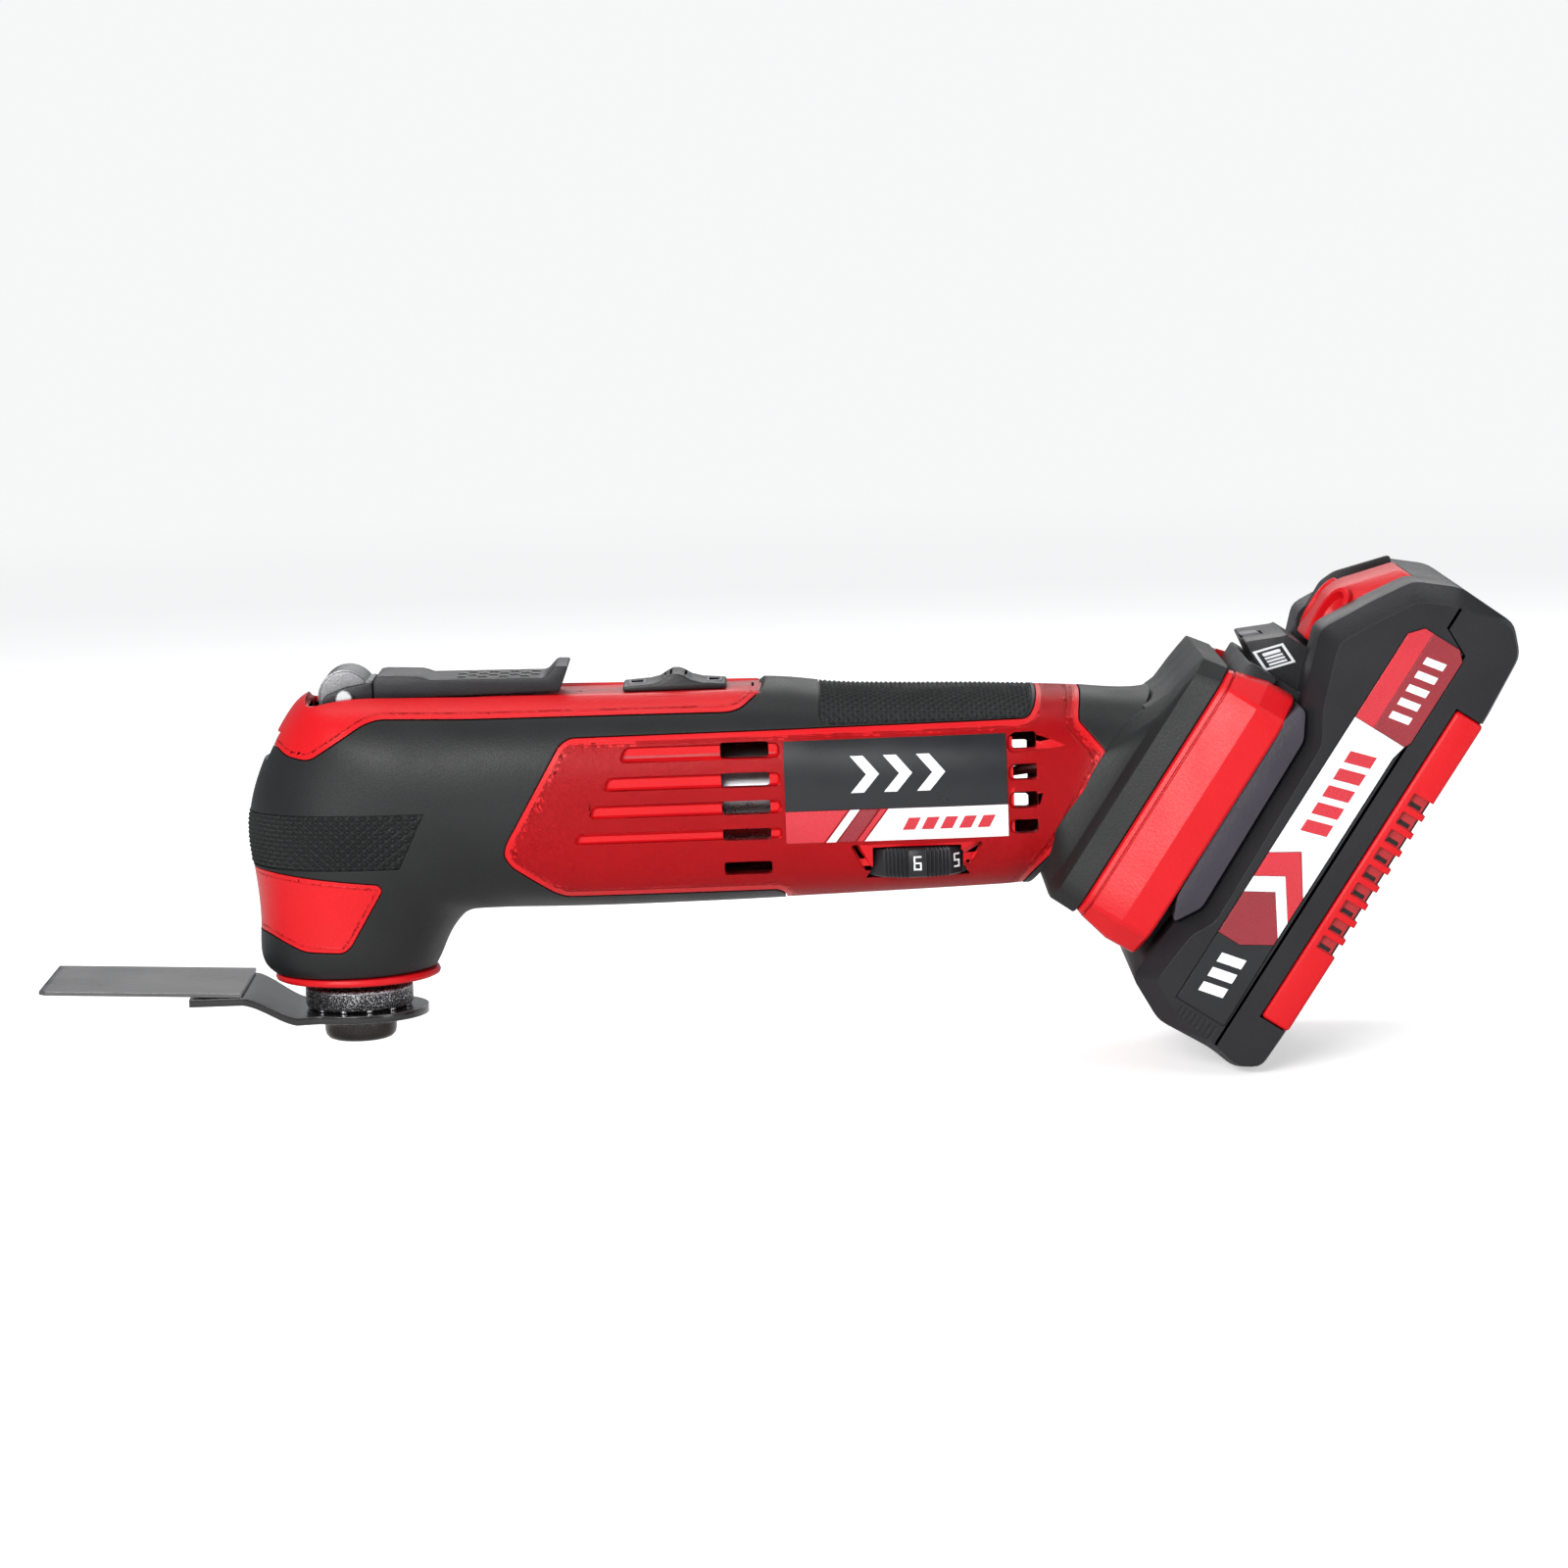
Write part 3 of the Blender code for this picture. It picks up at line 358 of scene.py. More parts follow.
def battery_box(name, low, high, side=1):
    """Corners are (along, y, away), mirrored for the left side."""
    outline = rectangle(low[0], high[0], low[2], high[2])
    return prism(name, outline, *side_span(side, low[1], high[1]), battery_xz)


def lathe_faces(steps, count):
    """Faces round an axis between steps copies of a closed profile of count points."""
    faces = []
    for step in range(steps):
        ahead = (step + 1) % steps
        for index in range(count):
            following = (index + 1) % count
            faces.append((step * count + index, ahead * count + index,
                          ahead * count + following, step * count + following))
    return faces


def turned(name, profile, steps=96, place=(0, 0, 0), axis=(0, 0, 1)):
    """A closed (radius, height) profile turned round an axis."""
    turn = Vector((0.0, 0.0, 1.0)).rotation_difference(Vector(axis)).to_matrix()
    points = []
    for step in range(steps):
        angle = 2.0 * math.pi * step / steps
        for radius, height in profile:
            reach = max(radius, 0.001)
            points.append(turn @ Vector((reach * math.cos(angle), reach * math.sin(angle), height)) + Vector(place))
    return outward(mesh_object(name, points, lathe_faces(steps, len(profile))), 0.004)


def rod(name, radius, start, end, steps=48):
    direction = Vector(end) - Vector(start)
    profile = [(0.0, 0.0), (radius, 0.0), (radius, direction.length), (0.0, direction.length)]
    return turned(name, profile, steps, start, direction)


def bevelled(item, width, segments=3, angle=35.0):
    modifier = item.modifiers.new("round", 'BEVEL')
    modifier.width = width * MM
    modifier.segments = segments
    modifier.limit_method = 'ANGLE'
    modifier.angle_limit = math.radians(angle)
    modifier.harden_normals = False
    return bake(item)


# ---------------------------------------------------------------- housing surface

def track(values, knots, places):
    """A smooth curve through values: cubic pieces with averaged slopes."""
    values = np.asarray(values, float)
    slopes = np.gradient(values, knots)
    index = np.clip(np.searchsorted(knots, places, side="right") - 1, 0, len(knots) - 2)
    width = knots[index + 1] - knots[index]
    share = (places - knots[index]) / width
    first, second = values[index], values[index + 1]
    slope_a, slope_b = slopes[index] * width, slopes[index + 1] * width
    return ((2 * share ** 3 - 3 * share ** 2 + 1) * first + (share ** 3 - 2 * share ** 2 + share) * slope_a
            + (3 * share ** 2 - 2 * share ** 3) * second + (share ** 3 - share ** 2) * slope_b)


def softened(values, passes):
    """Evens out small waves, holding both ends."""
    for _ in range(passes):
        inner = 0.25 * values[:-2] + 0.5 * values[1:-1] + 0.25 * values[2:]
        values = np.concatenate([values[:1], inner, values[-1:]])
    return values


def section_table(count):
    """count sections, evenly spread along the housing."""
    front = np.array([section[0] for section in SECTIONS])
    back = np.array([section[1] for section in SECTIONS])
    middle_step = np.linalg.norm(np.diff(front, axis=0), axis=1) + np.linalg.norm(np.diff(back, axis=0), axis=1)
    knots = np.concatenate([[0.0], np.cumsum(middle_step)])
    places = np.linspace(0.0, knots[-1], count)
    columns = [front[:, 0], front[:, 1], back[:, 0], back[:, 1],
               [section[2] for section in SECTIONS], [section[3] for section in SECTIONS]]
    passes = int((count / 90.0) ** 2)
    return [softened(track(column, knots, places), passes) for column in columns]


def skin_points(side, inset, table, angles, ripple=0.0, seam=SEAM):
    """Grid of points on the housing at a depth under its surface."""
    front_x, front_z, back_x, back_z, half_width, squareness = table
    centre_x, centre_z = (front_x + back_x) / 2, (front_z + back_z) / 2
    reach_x, reach_z = (front_x - back_x) / 2, (front_z - back_z) / 2
    shrink = 1.0 - inset / np.hypot(reach_x, reach_z)
    power = (2.0 / squareness)[:, None]
    cosine, sine = np.cos(angles)[None, :], np.sin(angles)[None, :]
    up = np.sign(cosine) * np.abs(cosine) ** power
    out = np.abs(sine) ** power
    x = centre_x[:, None] + (reach_x * shrink)[:, None] * up
    z = centre_z[:, None] + (reach_z * shrink)[:, None] * up
    y = side * np.maximum((half_width - inset)[:, None] * out + ripple, seam)
    return np.stack([x, y, z], axis=2)


def closed_sheet(name, side, outer, inner):
    """Two grids of points, one under the other, joined along their rims into a solid."""
    rows, columns = outer.shape[:2]
    shift = rows * columns
    grid = np.arange(shift).reshape(rows, columns)
    sheet = np.stack([grid[:-1, :-1], grid[:-1, 1:], grid[1:, 1:], grid[1:, :-1]], axis=2).reshape(-1, 4)
    walls = []
    for column in (0, columns - 1):
        line = grid[:, column]
        wall = np.stack([line[:-1], line[1:], line[1:] + shift, line[:-1] + shift], axis=1)
        walls.append(wall if column == 0 else wall[:, ::-1])
    for row in (0, rows - 1):
        line = grid[row, :]
        wall = np.stack([line[:-1], line[:-1] + shift, line[1:] + shift, line[1:]], axis=1)
        walls.append(wall if row == 0 else wall[:, ::-1])
    faces = np.concatenate([sheet, sheet[:, ::-1] + shift] + walls)
    if side < 0:
        faces = faces[:, ::-1]
    return quads_object(name, np.concatenate([outer.reshape(-1, 3), inner.reshape(-1, 3)]), faces)


def half_skin(side, high, low, seam, rows=260, columns=110):
    """The part of one housing half between two depths under its surface, as a closed solid."""
    table = section_table(rows)
    angles = np.linspace(0.0, math.pi, columns)
    ripple = RIPPLE * np.sin(2.1 * np.arange(rows))[:, None] * np.sin(1.7 * np.arange(columns))[None, :]
    ripple = ripple * np.sin(angles)[None, :]
    outer, inner = [skin_points(side, inset, table, angles, ripple, seam) for inset in (high, low)]
    return closed_sheet("skin_stock", side, outer, inner)


def quads_object(name, points, faces):
    """A mesh object from arrays, quickly."""
    mesh = bpy.data.meshes.new(name)
    mesh.vertices.add(len(points))
    mesh.vertices.foreach_set("co", to_frame(points).astype(np.float32).ravel())
    mesh.loops.add(faces.size)
    mesh.loops.foreach_set("vertex_index", faces.astype(np.int32).ravel())
    mesh.polygons.add(len(faces))
    mesh.polygons.foreach_set("loop_start", np.arange(0, faces.size, 4, dtype=np.int32))
    mesh.update(calc_edges=True)
    mesh.validate()
    return linked(name, mesh)


# ---------------------------------------------------------------- materials

class Nodes:
    """Short forms for wiring a material."""

    def __init__(self, name):
        self.material = bpy.data.materials.new(name)
        self.material.use_nodes = True
        self.tree = self.material.node_tree
        self.shader = self.tree.nodes["Principled BSDF"]
        self.place = self.node("ShaderNodeTexCoord").outputs["Object"]

    def node(self, kind, **inputs):
        made = self.tree.nodes.new(kind)
        for key, value in inputs.items():
            self.feed(made.inputs[key.replace("_", " ")], value)
        return made

    def feed(self, socket, value):
        if isinstance(value, bpy.types.NodeSocket):
            self.tree.links.new(value, socket)
        else:
            socket.default_value = value

    def noise(self, scale, detail=3.0, stretch=None):
        place = self.place
        if stretch:
            place = self.node("ShaderNodeMapping", Vector=place, Scale=stretch).outputs["Vector"]
        return self.node("ShaderNodeTexNoise", Vector=place, Scale=scale, Detail=detail).outputs["Fac"]

    def cells(self, scale):
        return self.node("ShaderNodeTexVoronoi", Vector=self.place, Scale=scale).outputs["Distance"]

    def math(self, operation, first, second=0.0, clamp=False):
        made = self.tree.nodes.new("ShaderNodeMath")
        made.operation = operation
        made.use_clamp = clamp
        self.feed(made.inputs[0], first)
        self.feed(made.inputs[1], second)
        return made.outputs[0]

    def spread(self, value, low, high, from_low=0.3, from_high=0.7):
        made = self.node("ShaderNodeMapRange", Value=value)
        for key, number in (("From Min", from_low), ("From Max", from_high), ("To Min", low), ("To Max", high)):
            self.feed(made.inputs[key], number)
        return made.outputs["Result"]

    def mix(self, share, first, second):
        made = self.tree.nodes.new("ShaderNodeMix")
        made.data_type = 'RGBA'
        self.feed(made.inputs["Factor"], share)
        self.feed(made.inputs["A"], first)
        self.feed(made.inputs["B"], second)
        return made.outputs["Result"]

    def vector(self, operation, first, second=None):
        made = self.tree.nodes.new("ShaderNodeVectorMath")
        made.operation = operation
        self.feed(made.inputs[0], first)
        if second:
            self.feed(made.inputs[1], second)
        return made.outputs["Value"]

    def edges(self, width, strength):
        """1 on sharp outer edges, falling to 0 on open faces, and the rounded normal."""
        bevel = self.tree.nodes.new("ShaderNodeBevel")
        bevel.samples = 4
        bevel.inputs["Radius"].default_value = width * MM
        flat = self.node("ShaderNodeNewGeometry").outputs["Normal"]
        dot = self.vector('DOT_PRODUCT', bevel.outputs["Normal"], flat)
        away = self.math('SUBTRACT', 1.0, dot, clamp=True)
        rough = self.spread(self.noise(900.0, 4.0), 0.2, 1.0)
        worn = self.math('MULTIPLY', self.math('MULTIPLY', away, strength), rough, clamp=True)
        return worn, bevel.outputs["Normal"]

    def bump(self, height, depth, normal=None):
        made = self.node("ShaderNodeBump", Height=height)
        made.inputs["Distance"].default_value = depth * MM
        made.inputs["Strength"].default_value = 1.0
        if normal:
            self.feed(made.inputs["Normal"], normal)
        return made.outputs["Normal"]

    def finish(self, **inputs):
        """Feeds the shader; an underscore stands for a space in an input's name."""
        for key, value in inputs.items():
            self.feed(self.shader.inputs[key.replace("_", " ")], value)
        return self.material


def shade(colour, share):
    return tuple(min(channel * share, 1.0) for channel in colour[:3]) + (1.0,)


def surface(name, colour, rough, metallic=0.0, grain=0.02, grain_scale=2600.0, pits=0.0, pit_scale=1500.0,
            mottle=0.12, spread=0.06, wear=2.5, wear_colour=None, edge=0.25, coat=0.0, brushed=None, specular=0.5):
    """A plastic, rubber or metal: mottled colour, fine grain, uneven gloss and worn edges."""
    made = Nodes(name)
    colour = (*colour, 1.0)
    clouds = made.noise(55.0, 5.0)
    fine = made.noise(grain_scale, 2.0, brushed)
    base = made.mix(made.spread(clouds, 0.0, 1.0), shade(colour, 1.0 - mottle), shade(colour, 1.0 + mottle))
    base = made.mix(made.spread(fine, 0.0, 0.5), base, shade(colour, 1.0 - 1.5 * mottle))
    edge_mask, normal = made.edges(edge, wear)
    base = made.mix(edge_mask, base, (*(wear_colour or shade(colour, 1.8)[:3]), 1.0))
    gloss = made.math('ADD', made.spread(clouds, rough - spread, rough + spread),
                      made.spread(fine, -spread * 0.6, spread * 0.6), clamp=True)
    normal = made.bump(fine, grain, normal)
    if pits:
        normal = made.bump(made.cells(pit_scale), pits, normal)
    return made.finish(Base_Color=base, Roughness=gloss, Metallic=metallic, Coat_Weight=coat,
                       Coat_Roughness=0.15, Specular_IOR_Level=specular, Normal=normal)


def lens_material():
    made = Nodes("clear_lens")
    clouds = made.noise(400.0, 3.0)
    return made.finish(Base_Color=(0.82, 0.86, 0.9, 1.0), Roughness=made.spread(clouds, 0.04, 0.12),
                       Transmission_Weight=0.75, Normal=made.bump(clouds, 0.01))


def sparkle_material():
    """Sintered dark steel: bright flakes in a dark ground."""
    made = Nodes("sparkle_steel")
    flakes = made.cells(2600.0)
    fine = made.noise(5200.0, 2.0)
    mask = made.spread(made.math('MULTIPLY', flakes, fine), 0.0, 1.0, 0.26, 0.42)
    edge_mask, normal = made.edges(0.3, 3.0)
    base = made.mix(mask, (0.03, 0.031, 0.034, 1.0), (0.55, 0.55, 0.56, 1.0))
    return made.finish(Base_Color=made.mix(edge_mask, base, (0.75, 0.75, 0.76, 1.0)), Metallic=0.9,
                       Roughness=made.spread(mask, 0.5, 0.28, 0.0, 1.0), Normal=made.bump(flakes, 0.05, normal))


RED_LINEAR = (0.56, 0.004, 0.008)
LOOKS = {
    "red": surface("red_plastic", RED_LINEAR, 0.4, specular=0.26, pits=0.022, pit_scale=1400.0, mottle=0.05,
                   wear_colour=(0.8, 0.07, 0.07), wear=0.9),
    # Darker copy of the red plastic: painted shade for the recessed red surfaces (the inner shell seen in the
    # openings, the deck floor and the grip bed).
    "red_painted_shade": surface("red_recess_painted_shade", (0.36, 0.006, 0.010), 0.5, pits=0.02, mottle=0.08, wear=0.8),
    "rubber": surface("soft_grip", (0.0115, 0.012, 0.0125), 0.5, pits=0.02, pit_scale=1700.0, mottle=0.14,
                      wear_colour=(0.06, 0.06, 0.063), wear=1.2, edge=0.35, specular=0.26),
    "black": surface("black_plastic", (0.0125, 0.0125, 0.0145), 0.42, pits=0.02, pit_scale=1300.0, mottle=0.12,
                     wear_colour=(0.075, 0.075, 0.08), wear=1.4, specular=0.28),
    "black_smooth": surface("black_smooth", (0.009, 0.009, 0.010), 0.26, grain=0.008, mottle=0.1,
                            wear_colour=(0.12, 0.12, 0.125), wear=1.6, specular=0.35),
    "purple": surface("grained_rail", (0.038, 0.034, 0.046), 0.5, pits=0.05, pit_scale=1100.0, mottle=0.16,
                      wear_colour=(0.12, 0.11, 0.14), wear=1.2, specular=0.3),
    "grey": surface("grey_plastic", (0.11, 0.11, 0.12), 0.45, pits=0.02, mottle=0.1, wear=1.5),
    "white": surface("white_mark", (0.86, 0.87, 0.88), 0.4, grain=0.004, mottle=0.03, wear=0.2),
    "film_white": surface("label_white", (0.80, 0.81, 0.83), 0.28, grain=0.004, mottle=0.04, wear=0.3, coat=0.4),
    "film_dark": surface("label_dark", (0.013, 0.0135, 0.016), 0.34, grain=0.006, mottle=0.1, wear=0.3,
                         coat=0.1, specular=0.3),
    "film_red": surface("label_red", (0.52, 0.008, 0.02), 0.28, grain=0.004, mottle=0.1, wear=0.3, coat=0.4),
    "film_deep": surface("label_deep_red", (0.24, 0.004, 0.012), 0.28, grain=0.004, mottle=0.1, wear=0.3, coat=0.4),
    "steel": surface("bright_steel", (0.56, 0.56, 0.57), 0.3, 1.0, grain=0.008, mottle=0.1,
                     wear_colour=(0.85, 0.85, 0.86)),
    "cam": surface("cam_steel", (0.16, 0.16, 0.165), 0.42, 1.0, grain=0.02, pits=0.02, mottle=0.2,
                   wear_colour=(0.6, 0.6, 0.6)),
    "dark_steel": surface("dark_steel", (0.05, 0.045, 0.042), 0.24, 1.0, grain=0.012, mottle=0.25, spread=0.1,
                          wear_colour=(0.55, 0.5, 0.46), wear=3.0),
    "arm": surface("arm_oxide", (0.012, 0.012, 0.013), 0.2, 0.3, grain=0.008, mottle=0.15,
                   wear_colour=(0.5, 0.5, 0.5), wear=3.5, edge=0.3, coat=0.5),
    "blade": surface("blade_steel", (0.13, 0.128, 0.13), 0.34, 0.85, grain=0.014, grain_scale=900.0, mottle=0.12,
                     brushed=(0.25, 4.0, 4.0), wear_colour=(0.55, 0.55, 0.56), wear=3.0),
    "alloy": surface("cast_alloy", (0.5, 0.5, 0.51), 0.48, 1.0, pits=0.05, mottle=0.12),
    "copper": surface("contact_copper", (0.62, 0.27, 0.13), 0.34, 1.0, mottle=0.15, wear=0.8),
    "board": surface("circuit_board", (0.012, 0.09, 0.03), 0.4, mottle=0.2, wear=0.6),
    "lead": surface("lead_cover", (0.30, 0.02, 0.02), 0.4, mottle=0.1, wear=0.5),
    "wrap": surface("cell_wrap", (0.03, 0.16, 0.32), 0.35, mottle=0.12, wear=0.6),
    "lens": lens_material(),
    "flange": sparkle_material(),
}


def place_piece(item, body, look, replaces=(), angle=32.0):
    """Finishes a piece: look, smooth shading, body and the CAD nodes it stands for."""
    item.data.materials.clear()
    item.data.materials.append(LOOKS[look])
    smooth(item, angle)
    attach(item, body)
    if replaces:
        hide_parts(*replaces)
    return item


# ---------------------------------------------------------------- housing pieces

SIDES = ((-1, "left"), (1, "right"))
SKINS = {}


def skin(name, side, high, low, seam=SEAM):
    """A fresh copy of a half skin between two depths."""
    key = (side, high, low, seam)
    if key not in SKINS:
        SKINS[key] = half_skin(side, high, low, seam).data
    return linked(name, SKINS[key].copy())


def area(name, side, outlines, high, low, seam=SEAM):
    """The part of a half skin inside side-view outlines."""
    return clip(skin(name, side, high, low, seam), prism("area", outlines, *side_span(side)))


def red_area(name, side, outline, depth, inset, width=0.42, line_depth=0.4):
    """A red part of the skin, with a fine line moulded just inside its edge."""
    item = area(name, side, grown(outline, -LINE), 0.1, depth)
    line = area("line", side, grown(outline, -inset), -2.0, line_depth)
    inside = prism("line_inside", grown(outline, -inset - width), *side_span(side, -2.0))
    return cut(item, cut(line, inside))


def grooves():
    """Outlines of the shallow grooves that lead into the vents."""
    found = []
    for top, bottom, start in FRONT_ROWS:
        height = top - bottom
        right = FRONT_SLOT[1] + 2.6
        outline = [(start + 0.3 * height, top), (right, top), (right, bottom), (start, bottom)]
        found.append(rounded(outline, height * 0.42, 4))
    left = REAR_SLOT[0] - 1.0
    for index, (top, bottom, end) in enumerate(REAR_ROWS):
        height = top - bottom
        lean = 0.3 if index == 0 else -0.3
        outline = [(left, bottom), (end + lean * height, bottom), (end, top), (left, top)]
        found.append(rounded(outline, height * 0.4, 4))
    return found


def side_reach(x, z):
    """How far the housing's flank stands out from the middle plane at a side-view point."""
    def miss(section):
        (top_x, top), (bottom_x, bottom) = section[:2]
        return abs(bottom_x + (top_x - bottom_x) * (z - bottom) / (top - bottom) - x)

    (_, top), (_, bottom), half, power = min(SECTIONS[13:], key=miss)
    share = abs(2.0 * z - top - bottom) / (top - bottom)
    return half * (1.0 - share ** power) ** (1.0 / power)


def groove_tools(side):
    """Cutters with sloping walls for the shallow grooves."""
    tools = []
    for outline in grooves():
        x = sum(point[0] for point in outline) / len(outline)
        z = sum(point[1] for point in outline) / len(outline)
        skin_y = side_reach(x, z)
        deep = 1.5 if x < 120.0 else 0.8
        rows = [(skin_y - deep, -deep / 2), (skin_y, 0.0), (skin_y + 3.0, 1.4)]
        shapes = [(side * y, grown(outline, margin)) for y, margin in rows]
        tools.append(lofted("groove", shapes))
    return tools


def vent_slots(side):
    slots = []
    for rows, (left, right) in ((FRONT_ROWS, FRONT_SLOT), (REAR_ROWS, REAR_SLOT), ([LOW_SLOT], FRONT_SLOT)):
        for top, bottom, *_ in rows:
            slot = rounded(rectangle(left, right, bottom, top), 0.7, 3)
            slots.append(prism("slot", slot, *side_span(side, 15.0)))
    return slots


def switch_slot():
    return box("switch_slot", (66.0, -3.4, 66.0), (88.0, 3.4, 90.0))


def lens_window():
    return box("lens_window", (-40.0, -7.6, 59.6), (-11.0, 7.6, 66.0))


def deck_tools():
    """The pocket on top, the slot for the cam, and the openings for the switch and the lens."""
    pocket = [(-9.0, DECK_FLOOR), (97.6, DECK_FLOOR), (100.6, 90.0), (-9.0, 90.0)]
    deck = prism("deck", pocket, -DECK_HALF, DECK_HALF)
    return [
        bevelled(deck, 1.1, 3),
        box("cam_slot", (-8.2, -10.8, 64.5), (9.0, 10.8, 90.0)),
        switch_slot(),
        lens_window(),
    ]


# Housing screws: (x, z, how far the well's floor is from the middle plane)
SCREWS = [(44.0, 29.4, 12.0), (44.0, 65.4, 16.5), (148.5, 60.0, 19.5), (149.0, 31.2, 13.0), (168.0, 60.0, 18.3)]


def well_tools(screws):
    return [rod("well", 3.7, (x, floor_y + 0.2, z), (x, REACH, z), 40) for x, z, floor_y in screws]


def dial_tools():
    x, y, z = DIAL_CENTRE
    recess = prism("dial_recess", rounded(DIAL_RECESS, 1.2), -REACH, -22.8)
    opening = box("dial_opening", (x - 10.2, -REACH, z - 3.75), (x + 10.2, -13.0, z + 3.75))
    room = rod("dial_room", 13.5, (x, y, z - 3.8), (x, y, z + 3.8), 64)
    return [bevelled(recess, 0.5, 2), opening, room]


def shaped(item, side):
    """Cuts every opening of the housing out of a shell piece."""
    cut(item, *deck_tools(), *vent_slots(side))
    return cut(item, *(well_tools(SCREWS) if side > 0 else dial_tools()))


def housing_shells():
    panel = rounded(SIDE_PANEL, 2.4)
    cap = rounded(TOP_CAP, 2.2)
    nose = rounded(NOSE_PANEL, 1.8)
    for side, tag in SIDES:
        core = skin(tag + "_core", side, 1.55, 3.7)
        cut(core, prism("foot_room", rectangle(60.0, 200.0, 116.8, 160.0), *side_span(side, -2.0), battery_xz))
        # The inner shell takes the darker red, painted as shade where it shows inside the openings.
        place_piece(shaped(core, side), "housing", "red_painted_shade", (tag + "_housing",))
        red = red_area(tag + "_side_panel", side, panel, 3.0, 1.25, 0.6, 0.7)
        cut(red, *groove_tools(side))
        cut(red, area("gap_line", side, band_outline(GAP_LINE, 0.34), -2.0, 2.2))
        place_piece(shaped(red, side), "housing", "red")
        top = red_area(tag + "_top_cap", side, cap, 3.4, 1.1)
        place_piece(shaped(top, side), "housing", "red")
        place_piece(red_area(tag + "_nose_panel", side, nose, 3.0, 1.0), "housing", "red")
        black_skin(side, tag, panel, cap, nose)


def black_skin(side, tag, panel, cap, nose):
    """The soft skin round the red areas, its pyramid band and its top grip."""
    soft = skin(tag + "_skin", side, 0.0, 1.45)
    span = side_span(side, -2.0)
    cut(soft, *[prism("red_area", grown(outline, LINE), *span) for outline in (panel, cap, nose)])
    rear = [(150.0, 5.0), (240.0, 5.0), (240.0, 110.0), (165.0, 110.0), (165.0, 60.0), (150.0, 50.0)]
    cut(soft, prism("skin_rear", rear, *span), lens_window())
    grip_outline = rounded(GRIP, 1.5)
    band_edge, grip_edge = grown(BAND, 0.35), grown(grip_outline, 0.35)
    cut(soft, prism("band_bed", band_edge, *span))
    cut(soft, prism("grip_bed", grip_edge, *span))
    if side > 0:
        cut(soft, *well_tools(SCREWS[:2]))
    place_piece(soft, "housing", "rubber", (tag + "_overmold",))
    place_piece(area(tag + "_band_bed", side, band_edge, 0.55, 1.45), "housing", "rubber")
    place_piece(area(tag + "_grip_bed", side, grip_edge, 0.5, 1.45), "housing", "rubber")
    band = studded(tag + "_pyramid_band", side, (0.10, 0.40), (0.0, 0.80), 560, 360, band_height)
    clip(band, prism("band_area", BAND, *span))
    place_piece(band, "housing", "rubber", angle=20.0)
    grip = studded(tag + "_top_grip", side, (0.60, 0.94), (0.0, 0.42), 560, 200, grip_height)
    clip(grip, prism("grip_area", grip_outline, *span))
    place_piece(grip, "housing", "rubber", angle=20.0)
    neck = skin(tag + "_neck_skin", side, 0.0, 1.45)
    cut(neck, prism("neck_area", grown(panel, LINE), *span))
    front = [(-60.0, -10.0), (148.0, -10.0), (166.0, 60.0), (166.0, 110.0), (-60.0, 110.0)]
    cut(neck, prism("neck_front", front, *span))
    cut(neck, prism("neck_end", rectangle(90.0, 200.0, 117.6, 160.0), *span, battery_xz))
    if side > 0:
        cut(neck, *well_tools(SCREWS[4:]))
    place_piece(neck, "housing", "rubber", (tag + "_neck_overmold",))


def pyramids(u, v, depth):
    """Height of a staggered field of diamond pyramids, in cells of u and v."""
    first, second = u + v, u - v
    high = np.maximum(np.abs(first % 1.0 - 0.5), np.abs(second % 1.0 - 0.5))
    return depth * (1.0 - 2.0 * high)


def band_height(points):
    turn = np.arctan2(np.abs(points[..., 1]), -(points[..., 0] - 3.0)) * 23.5
    return pyramids(turn / 2.4, points[..., 2] / 2.1, 1.05)


def grip_height(points):
    return pyramids(points[..., 0] / 2.2, np.abs(points[..., 1]) / 2.2, 0.75)


def studded(name, side, row_span, column_span, rows, columns, height_of):
    """A patch of the housing surface with a raised pattern, as a closed solid."""
    count = 600
    picks = np.linspace(row_span[0], row_span[1], rows) * (count - 1)
    table = [np.interp(picks, np.arange(count), column) for column in section_table(count)]
    angles = np.linspace(column_span[0], column_span[1], columns) * math.pi
    skin_at, bed, base = [skin_points(side, inset, table, angles) for inset in (0.0, 0.6, 1.2)]
    raised = skin_at - bed
    length = np.linalg.norm(raised, axis=2, keepdims=True)
    outer = bed + raised / np.maximum(length, 1e-6) * height_of(bed)[..., None]
    outer[:, 0, 1] = np.where(np.abs(outer[:, 0, 1]) < 1.0, side * SEAM, outer[:, 0, 1])
    return closed_sheet(name, side, outer, base)


# ---------------------------------------------------------------- foot, collar and small housing pieces

def lofted(name, outlines, place=same):
    """Side-view outlines at rising y, joined into one solid. outlines: (y, outline)."""
    shape = bmesh.new()
    rings = []
    for y, outline in outlines:
        flat = [place(point) for point in outline]
        rings.append([shape.verts.new(spot(x, y, z)) for x, z in flat])
    count = len(rings[0])
    for low, high in zip(rings, rings[1:]):
        for index in range(count):
            following = (index + 1) % count
            shape.faces.new((low[index], low[following], high[following], high[index]))
    shape.faces.new(rings[0])
    shape.faces.new(list(reversed(rings[-1])))
    return object_of(name, shape)


def chamfered_half(low, high, half, chamfer):
    """Half a section across the slope, as (along, y) points from one end to the other."""
    corners = [Vector(corner) for corner in (
        (low, SEAM), (low, half - chamfer), (low + chamfer, half), (high - chamfer, half), (high, half - chamfer),
        (high, SEAM))]
    points = [tuple(corners[0])]
    for before, here, after in zip(corners, corners[1:], corners[2:]):
        points += bend(here.lerp(before, 0.16), here, here.lerp(after, 0.16), 4)
    return points + [tuple(corners[-1])]


